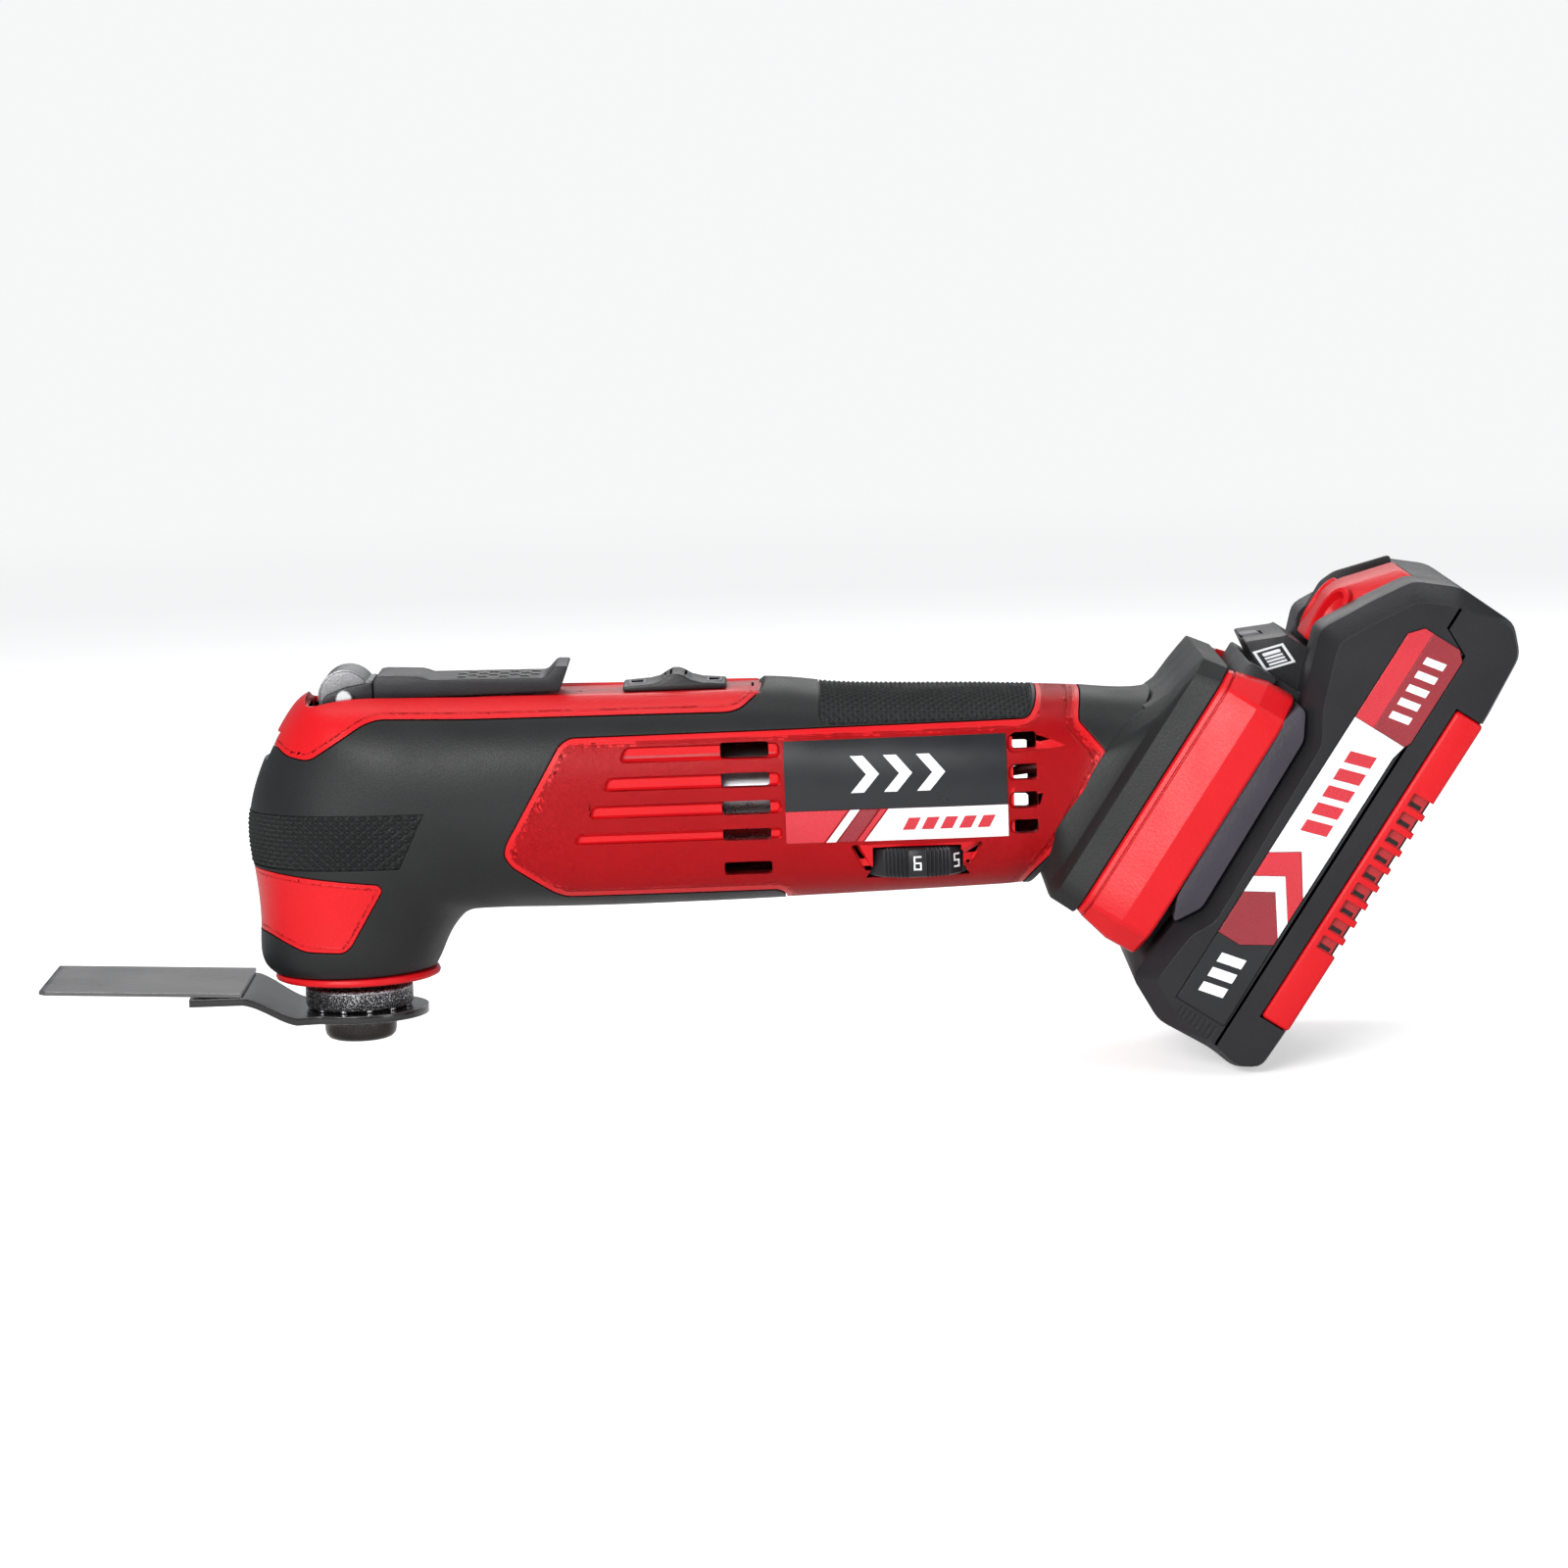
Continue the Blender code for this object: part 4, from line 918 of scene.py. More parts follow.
def stacked(name, side, steps):
    """Chamfered half sections stacked down the slope into one solid."""
    points, faces = [], []
    for away, low, high, half, chamfer in steps:
        section = chamfered_half(low, high, half, chamfer)
        for along, y in section:
            place = ALONG * along + AWAY * away
            points.append((place.x, side * y, place.z))
    row = len(section)
    for step in range(len(steps) - 1):
        for index in range(row):
            following = (index + 1) % row
            faces.append((step * row + index, step * row + following, (step + 1) * row + following,
                          (step + 1) * row + index))
    faces.append(tuple(range(row)))
    faces.append(tuple(range((len(steps) - 1) * row, len(steps) * row))[::-1])
    return outward(mesh_object(name, points, faces))


# Sections down the slope: (away, low, high, half width, chamfer)
FOOT_STEPS = [
    (127.95, 111.2, 175.4, 32.2, 4.0), (128.35, 110.6, 176.0, 32.8, 4.2), (129.35, 110.2, 176.4, 33.2, 4.4),
    (129.45, 110.6, 176.0, 32.8, 4.4), (129.80, 110.6, 176.0, 32.9, 4.4), (129.90, 110.0, 176.6, 33.4, 4.4),
    (136.6, 108.7, 178.3, 36.3, 6.2), (137.2, 108.6, 178.5, 36.5, 6.4), (143.9, 108.9, 178.6, 36.5, 6.4),
    (144.5, 109.6, 178.0, 36.0, 6.2),
]
COLLAR_STEPS = [
    (114.6, 116.0, 154.0, 24.4, 8.0), (118.2, 112.6, 160.0, 26.0, 7.4), (120.0, 111.0, 164.2, 27.2, 7.0),
    (120.8, 110.2, 169.0, 28.6, 6.0), (121.3, 109.8, 172.6, 29.7, 5.0), (121.9, 109.5, 175.6, 30.4, 4.6),
    (127.6, 109.6, 176.6, 31.6, 4.0), (127.9, 110.0, 176.2, 31.3, 4.0),
]


def foot():
    """The faceted red foot that the battery slides onto, and the black collar above it."""
    for side, tag in SIDES:
        body = stacked(tag + "_foot", side, FOOT_STEPS)
        cut(body, battery_box("channel", (112.5, -1.0, 120.0), (200.0, 26.0, 139.6), side))
        cut(body, battery_box("mouth", (112.5, -1.0, 139.0), (200.0, 22.5, 150.0), side))
        place_piece(body, "housing", "red", angle=12.0)
        neck = stacked(tag + "_collar", side, COLLAR_STEPS)
        cut(neck, battery_box("passage", (120.0, -1.0, 100.0), (158.0, 19.0, 133.0), side))
        place_piece(neck, "housing", "rubber", angle=18.0)


def head_parts():
    ring = [(10.4, 6.95), (18.4, 6.95), (19.2, 7.3), (19.4, 7.9), (19.1, 8.6), (18.2, 8.85), (10.4, 8.85)]
    place_piece(turned("nose_ring", ring, 128), "housing", "red", ("base_ring",))
    lens = lofted("lamp_lens", [(y, [(-18.2 + pull, 60.2 + pull), (-15.7 + pull * 0.4, 65.4 - pull),
                                     (-12.6, 65.4 - pull), (-14.6, 60.2 + pull)])
                                for y, pull in ((-7.1, 0.5), (-6.4, 0.0), (6.4, 0.0), (7.1, 0.5))])
    place_piece(bevelled(lens, 0.3, 2), "housing", "lens", ("work_light_lens",))
    reflector = lofted("lamp_led", [(y, [(-12.4, 61.4), (-12.4, 64.0), (-11.2, 64.0), (-11.2, 61.4)])
                                    for y in (-1.4, 1.4)])
    place_piece(bevelled(reflector, 0.2, 2), "housing", "white")


def spindle_parts():
    flange = [
        (3.6, 13.0), (8.2, 12.6), (8.2, 5.4), (11.9, 5.15), (12.3, 5.0), (12.6, 4.7), (12.65, 4.2),
        (12.65, 1.0), (12.5, 0.75), (12.5, 0.55), (12.2, 0.25), (11.9, 0.0), (3.6, 0.0),
    ]
    piece = turned("accessory_flange", flange, 128)
    place_piece(piece, "spindle", "flange")
    rim = [(12.2, 4.6), (12.55, 4.55), (12.67, 4.3), (12.6, 4.05), (12.2, 4.0)]
    place_piece(turned("flange_rim", rim, 128), "spindle", "steel")
    shaft = [(3.6, 64.6), (5.5, 64.6), (5.5, 13.2), (3.6, 13.1)]
    place_piece(turned("spindle_shaft", shaft, 48), "spindle", "steel", ("spindle",))
    count, circle = 12, 11.4
    profile = [(0.0, 0.3), (0.95, 0.3), (0.95, -0.1), (0.6, -0.28), (0.0, -0.28)]
    pins = []
    for index in range(count):
        angle = 2.0 * math.pi * (index + 0.5) / count
        pins.append(turned("pin", profile, 16, (circle * math.cos(angle), circle * math.sin(angle), 0.0)))
    place_piece(merged("drive_pins", pins), "spindle", "steel")


ARM_TOP, ARM_THICK, ARM_R = -0.3, 1.8, 16.2
BLADE_HALF, BLADE_TIP, BLADE_LOW, BLADE_THICK = 19.0, -73.0, 5.6, 1.0
BLADE_BEND, BLADE_RISE = -36.5, 0.06        # the blade climbs towards its tip from here, by this slope
TOOTH_PITCH, TOOTH_DEPTH = 1.58, 1.5


def arm_height(x):
    """Underside of the arm: flat at the clamp, a soft ramp, then level with the blade."""
    start, end = -13.6, -25.6
    low = ARM_TOP - ARM_THICK
    rise = BLADE_LOW - ARM_THICK - 0.15 - low
    share = min(max((start - x) / (start - end), 0.0), 1.0)
    eased = share + (share ** 2 * (3 - 2 * share) - share) * 0.55
    return low + rise * eased


def arm():
    """Sheet arm: a round clamp end that cranks up to the blade."""
    turn = [ARM_R * math.cos(math.radians(angle)) for angle in range(2, 180, 4)]
    stations = [x for x in turn if x > -12.6] + list(np.linspace(-13.2, -26.4, 24)) + [-31.0, -37.6, -38.2]
    points, faces = [], []
    across = 24
    shoulder, clamp_half = -8.0, 14.1
    for x in stations:
        if x > shoulder:
            half = math.sqrt(max(ARM_R ** 2 - x ** 2, 0.3))
        else:
            half = clamp_half + (BLADE_HALF - 0.4 - clamp_half) * (min((shoulder - x) / 17.0, 1.0) ** 1.3)
        for level in (0.0, ARM_THICK):
            for step in range(across + 1):
                y = half * math.sin(math.pi * (step / across - 0.5))
                points.append((x, y, arm_height(x) + level))
    width = across + 1
    for row in range(len(stations) - 1):
        base, ahead = row * 2 * width, (row + 1) * 2 * width
        for step in range(across):
            low, high = base + step, ahead + step
            faces.append((low, low + 1, high + 1, high))
            faces.append((low + width, high + width, high + width + 1, low + width + 1))
        faces.append((base, ahead, ahead + width, base + width))
        faces.append((base + across, base + width + across, ahead + width + across, ahead + across))
    last = (len(stations) - 1) * 2 * width
    for step in range(across):
        faces.append((step, step + width, step + width + 1, step + 1))
        faces.append((last + step, last + step + 1, last + width + step + 1, last + width + step))
    item = outward(mesh_object("sheet_arm", points, faces))
    cut(item, rod("arm_hole", 5.0, (0, 0, -10.0), (0, 0, 10.0)))
    place_piece(bevelled(item, 0.35, 2, 50.0), "spindle", "arm", ("blade_arm",))


def blade():
    """Wood blade: a ground sheet with a row of teeth."""
    teeth = int(2 * BLADE_HALF / TOOTH_PITCH)
    pitch = 2 * BLADE_HALF / teeth
    outline = [(-26.0, -BLADE_HALF), (-26.0, BLADE_HALF), (BLADE_TIP + TOOTH_DEPTH, BLADE_HALF)]
    for index in range(teeth):
        y = BLADE_HALF - index * pitch
        outline.append((BLADE_TIP, y - 0.30 * pitch))
        outline.append((BLADE_TIP, y - 0.42 * pitch))
        outline.append((BLADE_TIP + TOOTH_DEPTH, y - 0.9 * pitch))
    outline.append((BLADE_TIP + TOOTH_DEPTH, -BLADE_HALF))
    item = plate("wood_blade", outline, BLADE_LOW, BLADE_LOW + BLADE_THICK)
    item = bevelled(item, 0.12, 1, 60.0)
    for vertex in item.data.vertices:
        vertex.co.z += BLADE_RISE * max(0.0, BLADE_BEND * MM - vertex.co.x)
    place_piece(item, "spindle", "blade", ("saw_blade",))
    profile = [(0.0, 0.25), (0.5, 0.22), (0.8, 0.1), (1.0, 0.0), (1.0, -0.2), (0.0, -0.2)]
    welds = [turned("weld", profile, 20, (x, y, BLADE_LOW + BLADE_THICK))
             for x in (-31.0, -35.2) for y in (-14.4, 0.0, 14.4)]
    place_piece(merged("weld_spots", welds), "spindle", "blade")


def bolt():
    profile = [
        (0.0, 66.6), (3.2, 66.6), (3.2, -2.4), (8.4, -2.4), (8.7, -2.7), (8.7, -3.6), (8.45, -3.9),
        (8.45, -5.4), (8.2, -6.6), (7.5, -7.4), (6.6, -7.75), (3.4, -7.8), (3.2, -7.5), (0.0, -7.2),
    ]
    piece = turned("clamp_screw", profile)
    place_piece(piece, "clamp", "dark_steel", ("clamp_bolt",))


def lever():
    """Clamp lever: a stamped plate with a turned-up tail and a row of pimples."""
    profile = [
        (7.2, 73.2), (50.0, 73.6), (50.6, 74.2), (52.4, 79.0), (52.2, 79.4), (49.9, 79.5), (49.2, 79.2),
        (47.4, 77.3), (46.4, 76.9), (20.4, 77.3), (18.8, 77.9), (17.6, 78.2), (9.4, 78.6), (8.0, 78.4),
        (7.2, 77.4),
    ]
    body = prism("lever_plate", profile, -10.4, 10.4)
    body = bevelled(body, 0.7, 3, 40.0)
    pimple = [(0.0, 0.55), (0.75, 0.5), (1.25, 0.25), (1.45, 0.0), (1.45, -0.4), (0.0, -0.4)]
    dots = []
    for row, y in enumerate((-5.2, -1.75, 1.75, 5.2)):
        for index in range(4):
            x = 27.6 + index * 4.9 + (2.4 if row % 2 else 0.0)
            dots.append(turned("dot", pimple, 20, (x, y, 77.15 - (x - 20.4) * 0.0155)))
    place_piece(merged("lever_dots", dots), "lever", "black_smooth")
    for y in (-8.4, 8.4):
        cut(body, prism("lever_line", rectangle(12.0, 45.5, 76.6, 80.0), y - 0.3, y + 0.3))
    place_piece(body, "lever", "black", ("clamp_lever",))
    x, z = LEVER_AXIS.x, LEVER_AXIS.z
    arm_line = [(7.0, 77.3), (7.0, 73.2), (1.0, 71.6), (-3.6, 71.4), (-5.2, 72.6), (-4.2, 74.4), (0.6, 76.2)]
    for y, tag in ((-9.2, "left"), (9.2, "right")):
        fork = bevelled(prism("lever_fork_" + tag, rounded(arm_line, 1.0, 4), y - 1.1, y + 1.1), 0.4, 2)
        place_piece(fork, "lever", "black")
    profile = [(2.15, -7.8), (5.4, -7.8), (5.9, -7.7), (6.0, -7.4), (6.4, -7.3), (6.4, 7.3), (6.0, 7.4), (5.9, 7.7),
               (5.4, 7.8), (2.15, 7.8)]
    cam = turned("cam_drum", profile, 96, (x, 0, z), (0, 1, 0))
    tongue = bevelled(box("tongue", (2.0, -7.6, 73.5), (6.9, 7.6, 77.4)), 0.5, 2)
    cut(tongue, rod("bore", 3.0, (x, -20, z), (x, 20, z)))
    join(cam, tongue)
    cut(cam, rod("bore", 2.15, (x, -20, z), (x, 20, z)))
    for y in (-6.9, 6.9):
        cut(cam, turned("cam_groove", rectangle(6.15, 7.4, -0.25, 0.25), 96, (x, y, z), (0, 1, 0)))
    place_piece(cam, "lever", "cam", ("lever_cam",))
    pin = [(0.0, -12.6), (1.7, -12.6), (2.0, -12.3), (2.0, 12.3), (1.7, 12.6), (0.0, 12.6)]
    place_piece(turned("hinge_pin", pin, 48, (x, 0, z), (0, 1, 0)), "housing", "steel", ("lever_pin",))


def switch():
    """Switch slider with a finger ridge and a framed pointer window at each end."""
    profile = [
        (65.3, 72.7), (88.8, 72.7), (89.1, 73.0), (89.1, 73.6), (88.7, 73.9), (83.6, 74.3), (81.0, 75.0),
        (79.2, 76.1), (78.0, 76.5), (76.6, 76.5), (75.4, 75.9), (73.6, 74.8), (71.4, 74.3), (65.3, 73.9),
        (65.0, 73.6), (65.0, 73.0),
    ]
    body = bevelled(prism("slider", profile, -8.0, 8.0), 0.4, 2, 50.0)
    for x in (74.4, 75.9, 79.4, 80.9):
        cut(body, prism("rib_gap", rectangle(x, x + 0.6, 75.0, 78.0), -6.4, 6.4))
    for low, high in ((66.2, 70.4), (84.4, 88.2)):
        cut(body, bevelled(box("window", (low + 0.7, -3.0, 73.4), (high - 0.7, 3.0, 76.0)), 0.3, 2))
        frame_piece = bevelled(box("window_frame", (low, -3.8, 73.6), (high, 3.8, 74.35)), 0.25, 2)
        cut(frame_piece, box("frame_inside", (low + 0.7, -3.0, 73.0), (high - 0.7, 3.0, 76.0)))
        frame_piece.name = "window_frame_%d" % int(low)
        place_piece(frame_piece, "switch", "grey")
    join(body, box("post", (74.0, -2.4, 67.8), (80.0, 2.4, 73.4)))
    place_piece(body, "switch", "black", ("switch_slider",))


SEGMENTS = {"0": "abcdef", "1": "bc", "2": "abged", "3": "abgcd", "4": "fgbc", "5": "afgcd", "6": "afgedc"}


def numeral(digit, centre, radius, turn, high=2.9):
    """A raised digit on the rim of the dial, drawn as strokes bent round the rim."""
    width, stroke, lift = high * 0.5, high * 0.13, 0.1
    w, h = width / 2, high / 2
    strokes = {
        "a": ((-w, h), (w, h)), "b": ((w, h), (w, 0)), "c": ((w, 0), (w, -h)), "d": ((-w, -h), (w, -h)),
        "e": ((-w, 0), (-w, -h)), "f": ((-w, h), (-w, 0)), "g": ((-w, 0), (w, 0)),
    }
    points, faces = [], []
    for key in SEGMENTS[digit]:
        (x0, z0), (x1, z1) = strokes[key]
        low_x, high_x = min(x0, x1) - stroke / 2, max(x0, x1) + stroke / 2
        low_z, high_z = min(z0, z1) - stroke / 2, max(z0, z1) + stroke / 2
        base = len(points)
        for depth in (radius - 0.2, radius + lift):
            for across, up in ((low_x, low_z), (high_x, low_z), (high_x, high_z), (low_x, high_z)):
                angle = turn + across / radius
                points.append((centre.x + depth * math.sin(angle), centre.y - depth * math.cos(angle),
                               centre.z + up))
        for face in ((0, 1, 2, 3), (7, 6, 5, 4), (0, 4, 5, 1), (1, 5, 6, 2), (2, 6, 7, 3), (3, 7, 4, 0)):
            faces.append(tuple(base + index for index in face))
    return mesh_object("digit", points, faces)


def dial():
    """Speed dial: a ribbed thumb wheel with numbers between the ribs."""
    x, y, z = DIAL_CENTRE
    steps, ribs, rib_depth, shy = 720, 80, 0.55, 0.14
    number_step, number_half = 45.0, 8.5
    profile = [(-3.4, 1.2), (-3.4, 12.2), (-3.1, 12.75), (-2.6, 13.0), (2.6, 13.0), (3.1, 12.75), (3.4, 12.2),
               (3.4, 1.2)]
    points = []
    for step in range(steps):
        angle = 2.0 * math.pi * step / steps
        local = (math.degrees(angle) + number_step / 2) % number_step
        plain = abs(local - number_step / 2) < number_half
        rib = 0.0 if plain else rib_depth * (0.5 - 0.5 * math.cos(ribs * angle))
        for height, radius in profile:
            reach = radius - (rib if radius > 12.5 else 0.0) - (0.0 if radius < 5 else shy)
            points.append((x + reach * math.sin(angle), y - reach * math.cos(angle), z + height))
    faces = [(a, d, c, b) for a, b, c, d in lathe_faces(steps, len(profile))]
    place_piece(mesh_object("thumb_wheel", points, faces), "dial", "black", ("speed_dial",))
    digits = [numeral(digit, DIAL_CENTRE, 12.86, math.radians(number_step * index))
              for index, digit in enumerate("6543210")]
    place_piece(merged("dial_numbers", digits), "dial", "white", angle=50.0)


# ---------------------------------------------------------------- labels

def housing_label():
    """Generic rating label on the left side: a dark field over a white strip with red chevrons."""
    left, right, low, high = 101.8, 153.0, 38.2, 61.8
    split = 45.7
    top, lean = split - 0.05, 5.7
    films = (
        ("dark", rectangle(left, right, split + 0.05, high), "film_dark"),
        ("red", [(left, low), (110.5, low), (116.2, top), (left, top)], "film_red"),
        ("stripe_0", rectangle(111.0, 113.2, low, top, lean), "film_white"),
        ("stripe_1", rectangle(113.6, 117.6, low, top, lean), "film_deep"),
        ("stripe_2", rectangle(118.0, 119.4, low, top, lean), "film_red"),
        ("stripe_3", [(119.8, low), (right, low), (right, top), (125.5, top)], "film_white"),
    )
    for name, outline, look in films:
        place_piece(area("label_" + name, -1, outline, -0.14, 0.12), "housing", look)
    bars = bar_row(5, 4.3, 128.6, 131.4, 40.6, 43.4, 1.5)
    place_piece(area("label_marks", -1, bars, -0.22, -0.05), "housing", "film_red")
    chevrons = []
    for index in range(3):
        x = 117.0 + index * 7.6
        chevrons.append([(x, 49.6), (x + 3.0, 49.6), (x + 6.6, 53.8), (x + 3.0, 58.0), (x, 58.0), (x + 3.6, 53.8)])
    place_piece(area("label_chevrons", -1, chevrons, -0.22, -0.05), "housing", "white")
    mark = [(131.0, 35.9), (132.6, 35.9), (131.8, 34.6)]
    place_piece(area("dial_pointer", -1, [mark], 0.0, 0.4), "housing", "white")


BATTERY_HALF = 37.0


def battery_label(side, tag):
    """Generic stickers on the flat side of the battery, as thin raised films."""
    def film(name, outlines, look, lift=0.0):
        span = side_span(side, BATTERY_HALF - 0.6, BATTERY_HALF - 0.06 + lift)
        place_piece(prism(tag + "_sticker_" + name, outlines, *span, battery_xz), "battery", look)

    film("light_red", [(182.6, 157.1), (204.9, 157.1), (207.9, 159.8), (207.9, 162.0), (182.6, 162.0)], "film_red")
    film("deep_red", [(182.6, 162.06), (207.9, 162.06), (207.9, 169.1), (205.8, 171.1), (184.1, 171.1),
                      (182.6, 170.4)], "film_deep")
    film("white", [(146.0, 157.1), (182.5, 157.1), (182.5, 170.3), (179.0, 169.5), (141.0, 169.5), (150.0, 163.4)],
         "film_white")
    film("upper_chevron", [(139.6, 157.1), (145.9, 157.1), (149.8, 163.3), (140.8, 169.5), (134.5, 169.5),
                           (143.3, 163.3)], "film_red")
    film("middle_chevron", [(135.4, 157.1), (139.5, 157.1), (143.2, 163.3), (134.4, 169.5), (130.2, 169.5),
                            (139.0, 163.3)], "film_white")
    film("lower_chevron", [(124.4, 157.1), (135.3, 157.1), (138.9, 163.3), (130.1, 169.5), (128.4, 169.5),
                           (124.4, 162.9)], "film_deep")
    film("dark", [(106.7, 157.1), (124.3, 157.1), (124.3, 162.9), (128.3, 169.5), (106.7, 169.9)], "film_dark")
    film("bars", bar_row(5, 4.6, 154.0, 157.0, 160.4, 166.4, 1.8), "film_red", 0.04)
    film("ticks", bar_row(5, 3.6, 186.4, 188.2, 163.6, 168.4, 0.9), "white", 0.04)
    film("blocks", bar_row(3, 3.9, 110.6, 113.0, 160.4, 166.2, 1.3), "white", 0.04)


# ---------------------------------------------------------------- battery

CASE = [
    (99.4, 157.0), (104.8, 146.4), (121.9, 148.1), (126.9, 151.0), (171.7, 149.9), (177.8, 146.2), (195.0, 140.1),
    (206.6, 146.6), (215.6, 152.3), (220.1, 162.4), (219.5, 177.0), (214.0, 182.2), (198.0, 183.4), (112.8, 183.4),
    (102.6, 183.0), (99.3, 177.4), (100.2, 170.6),
]
SPLIT = [(90.0, 170.6), (207.4, 170.6), (210.6, 164.2), (230.0, 164.2)]
GRIP_LOW, GRIP_HIGH, GRIP_PITCH = 113.0, 196.0, 4.8
STICKER_BED = rounded([
    (106.4, 156.8), (205.0, 156.8), (208.2, 159.6), (208.2, 169.2), (205.9, 171.4), (184.0, 171.4),
    (182.2, 170.6), (178.8, 169.8), (131.0, 169.8), (106.4, 170.2),
], 0.3, 2)
PATCH_LINES = [rectangle(100.8, 105.6, 159.0 + 1.3 * i, 159.6 + 1.3 * i) for i in range(8)]


def crowned_case(name, outline, half, corner, corner_radius=2.0):
    """A case with faceted long edges: the outline shrinks towards both flat sides."""
    stations = [
        (half - corner, 0.0), (half - corner * 0.9, corner * 0.05), (half - corner * 0.1, corner * 0.92),
        (half, corner),
    ]

    def pulled(amount):
        inner = grown(outline, -amount)
        moved = []
        for (a, b), (c, d) in zip(outline, inner):
            share = min(max((176.0 - b) / 14.0, 0.22), 1.0)       # the back face shrinks least
            moved.append((a + (c - a) * share, b + (d - b) * share))
        return rounded(moved, corner_radius, 3)

    mirrored = [(-y, pull) for y, pull in reversed(stations)]
    return lofted(name, [(y, pulled(pull)) for y, pull in mirrored + stations], battery_xz)


def case_half(name, upper):
    """The part of the battery case above or below the parting line, hollow inside."""
    item = crowned_case(name, CASE, BATTERY_HALF, 4.4)
    gap = 0.34 if upper else -0.34
    line = [(a, b + gap) for a, b in SPLIT]
    far = 220.0 if upper else 120.0
    cut(item, prism("split", line + [(230.0, far), (90.0, far)], -REACH, REACH, battery_xz))
    cavity = [(103.5, 156.5), (213.0, 156.5), (216.0, 163.0), (214.6, 177.0), (209.0, 180.5), (103.5, 180.5)]
    cut(item, prism("cavity", cavity, -33.8, 33.8, battery_xz))
    return item


def battery():
    upper_case()
    lower_case()
    back = crowned_case("back_plate", rectangle(113.0, 195.0, 182.1, 183.3), 23.6, 0.3, 0.5)
    for low, high in [(122.0 + 8.0 * i, 123.2 + 8.0 * i) for i in range(9)]:
        cut(back, battery_box("rib", (low, -19.0, 182.9), (high, 19.0, 190.0)))
    place_piece(back, "battery", "black")
    for side, tag in SIDES:
        battery_label(side, tag)
        battery_grip(side, tag)
        rail_panel(side, tag)
    latch()
    gauge()


def sticker_bed(side, outlines, depth):
    """Cutter for a shallow bed in the flat side of the battery."""
    return prism("bed", outlines, *side_span(side, BATTERY_HALF - depth, BATTERY_HALF + 5), battery_xz)


def upper_case():
    """Tool side of the case, with its slide head, gauge tower and the walls beside the latch."""
    upper = case_half("upper_shell", True)
    tower = [(179.2, 135.4), (179.2, 148.0), (195.0, 148.0), (195.0, 139.6), (188.8, 136.2), (183.0, 129.3)]
    wall = [
        (186.4, 148.0), (186.4, 142.6), (188.4, 141.2), (203.4, 140.9), (207.0, 142.4), (217.4, 151.6),
        (212.0, 156.0),
    ]
    join(
        upper,
        bevelled(battery_box("slide_head", (113.2, -25.6, 131.7), (180.0, 25.6, 139.2)), 0.6, 2),
        battery_box("slide_neck", (113.2, -22.1, 138.6), (180.0, 22.1, 154.0)),
        bevelled(prism("gauge_tower", rounded(tower, 0.8, 3), -15.8, 15.8, battery_xz), 0.5, 2),
        bevelled(prism("latch_wall", rounded(wall, 1.0, 3), 16.4, 18.0, battery_xz), 0.4, 2),
    )
    for side in (-1, 1):
        cut(upper, sticker_bed(side, STICKER_BED, 0.5), sticker_bed(side, PATCH_LINES, 0.3))
        cut(upper, battery_box("tongue_slot", (100.0, side * 9.0 - 1.1, 125.0), (155.6, side * 9.0 + 1.1, 140.2)))
    pocket = [(182.8, 125.0), (186.4, 125.0), (186.4, 135.6), (182.8, 132.4)]
    cut(upper, prism("button_pocket", pocket, -3.9, 3.9, battery_xz))
    pocket = [
        (189.4, 130.0), (189.4, 143.0), (191.0, 150.6), (209.5, 159.4), (214.4, 156.8), (217.4, 152.4),
        (217.4, 130.0),
    ]
    cut(upper, prism("latch_pocket", pocket, -16.4, 16.4, battery_xz))
    place_piece(upper, "battery", "black", ("battery_upper_case",))


def lower_case():
    lower = case_half("lower_shell", False)
    tools = [battery_box("groove", (112.0, -24.0, 182.9), (196.0, 24.0, 190.0))]
    for side in (-1, 1):
        low, high = (GRIP_LOW - 0.25, 30.0, 175.7), (GRIP_HIGH + 0.25, 40.0, 190.0)
        tools.append(battery_box("grip_pocket", low, high, side))
        tools.append(sticker_bed(side, STICKER_BED, 0.5))
    place_piece(cut(lower, *tools), "battery", "black", ("battery_lower_case",))


def battery_grip(side, tag):
    """Red insert wrapped round the corner: a bed in the darker red, painted as shade, under a frame with a ladder
    of fins; black sheets in the bed's slots are painted shade.
    """
    fins = int((180.0 - 133.0) / GRIP_PITCH)
    gap = GRIP_PITCH - 1.5
    starts = [133.2 + index * GRIP_PITCH for index in range(fins)]

    def block(name, low, high, y_low, y_high, away_low, away_high):
        return battery_box(name, (low, y_low, away_low), (high, y_high, away_high), side)

    def slots(name, y_low, y_high):
        return [block(name, start + 0.3, start + 1.3, y_low, y_high, 178.6, 181.4) for start in starts]

    half = BATTERY_HALF
    bed = block(tag + "_grip_bed", GRIP_LOW + 1.0, GRIP_HIGH - 1.0, 30.4, half - 1.3, 176.8, 182.0)
    cut(bed, *slots("slot", half - 1.9, half + 1.0))
    # The bed under the fins takes the darker red, painted as shade.
    place_piece(bed, "battery", "red_painted_shade")
    insert = block(tag + "_corner_grip", GRIP_LOW, GRIP_HIGH, 30.5, half, 176.0, 183.2)
    insert = bevelled(insert, 0.9, 3, 60.0)
    cut(insert, block("hollow", GRIP_LOW + 0.95, GRIP_HIGH - 0.95, 29.0, half - 1.25, 176.75, 182.05))
    for start in starts:
        window = rounded(rectangle(start, start + gap, 178.0, 190.0), 0.4, 3)
        cut(insert, prism("rib_gap", window, *side_span(side, 29.0, half + 4), battery_xz))
    place_piece(insert, "battery", "red", ("battery_grip_" + tag,))
    # Thin black sheets in the floors of the slots: painted shade inside the slots.
    dark = merged(tag + "_grip_slot_shade", slots("slot_shade_sheet", half - 2.1, half - 1.8))
    place_piece(dark, "battery", "black_smooth")


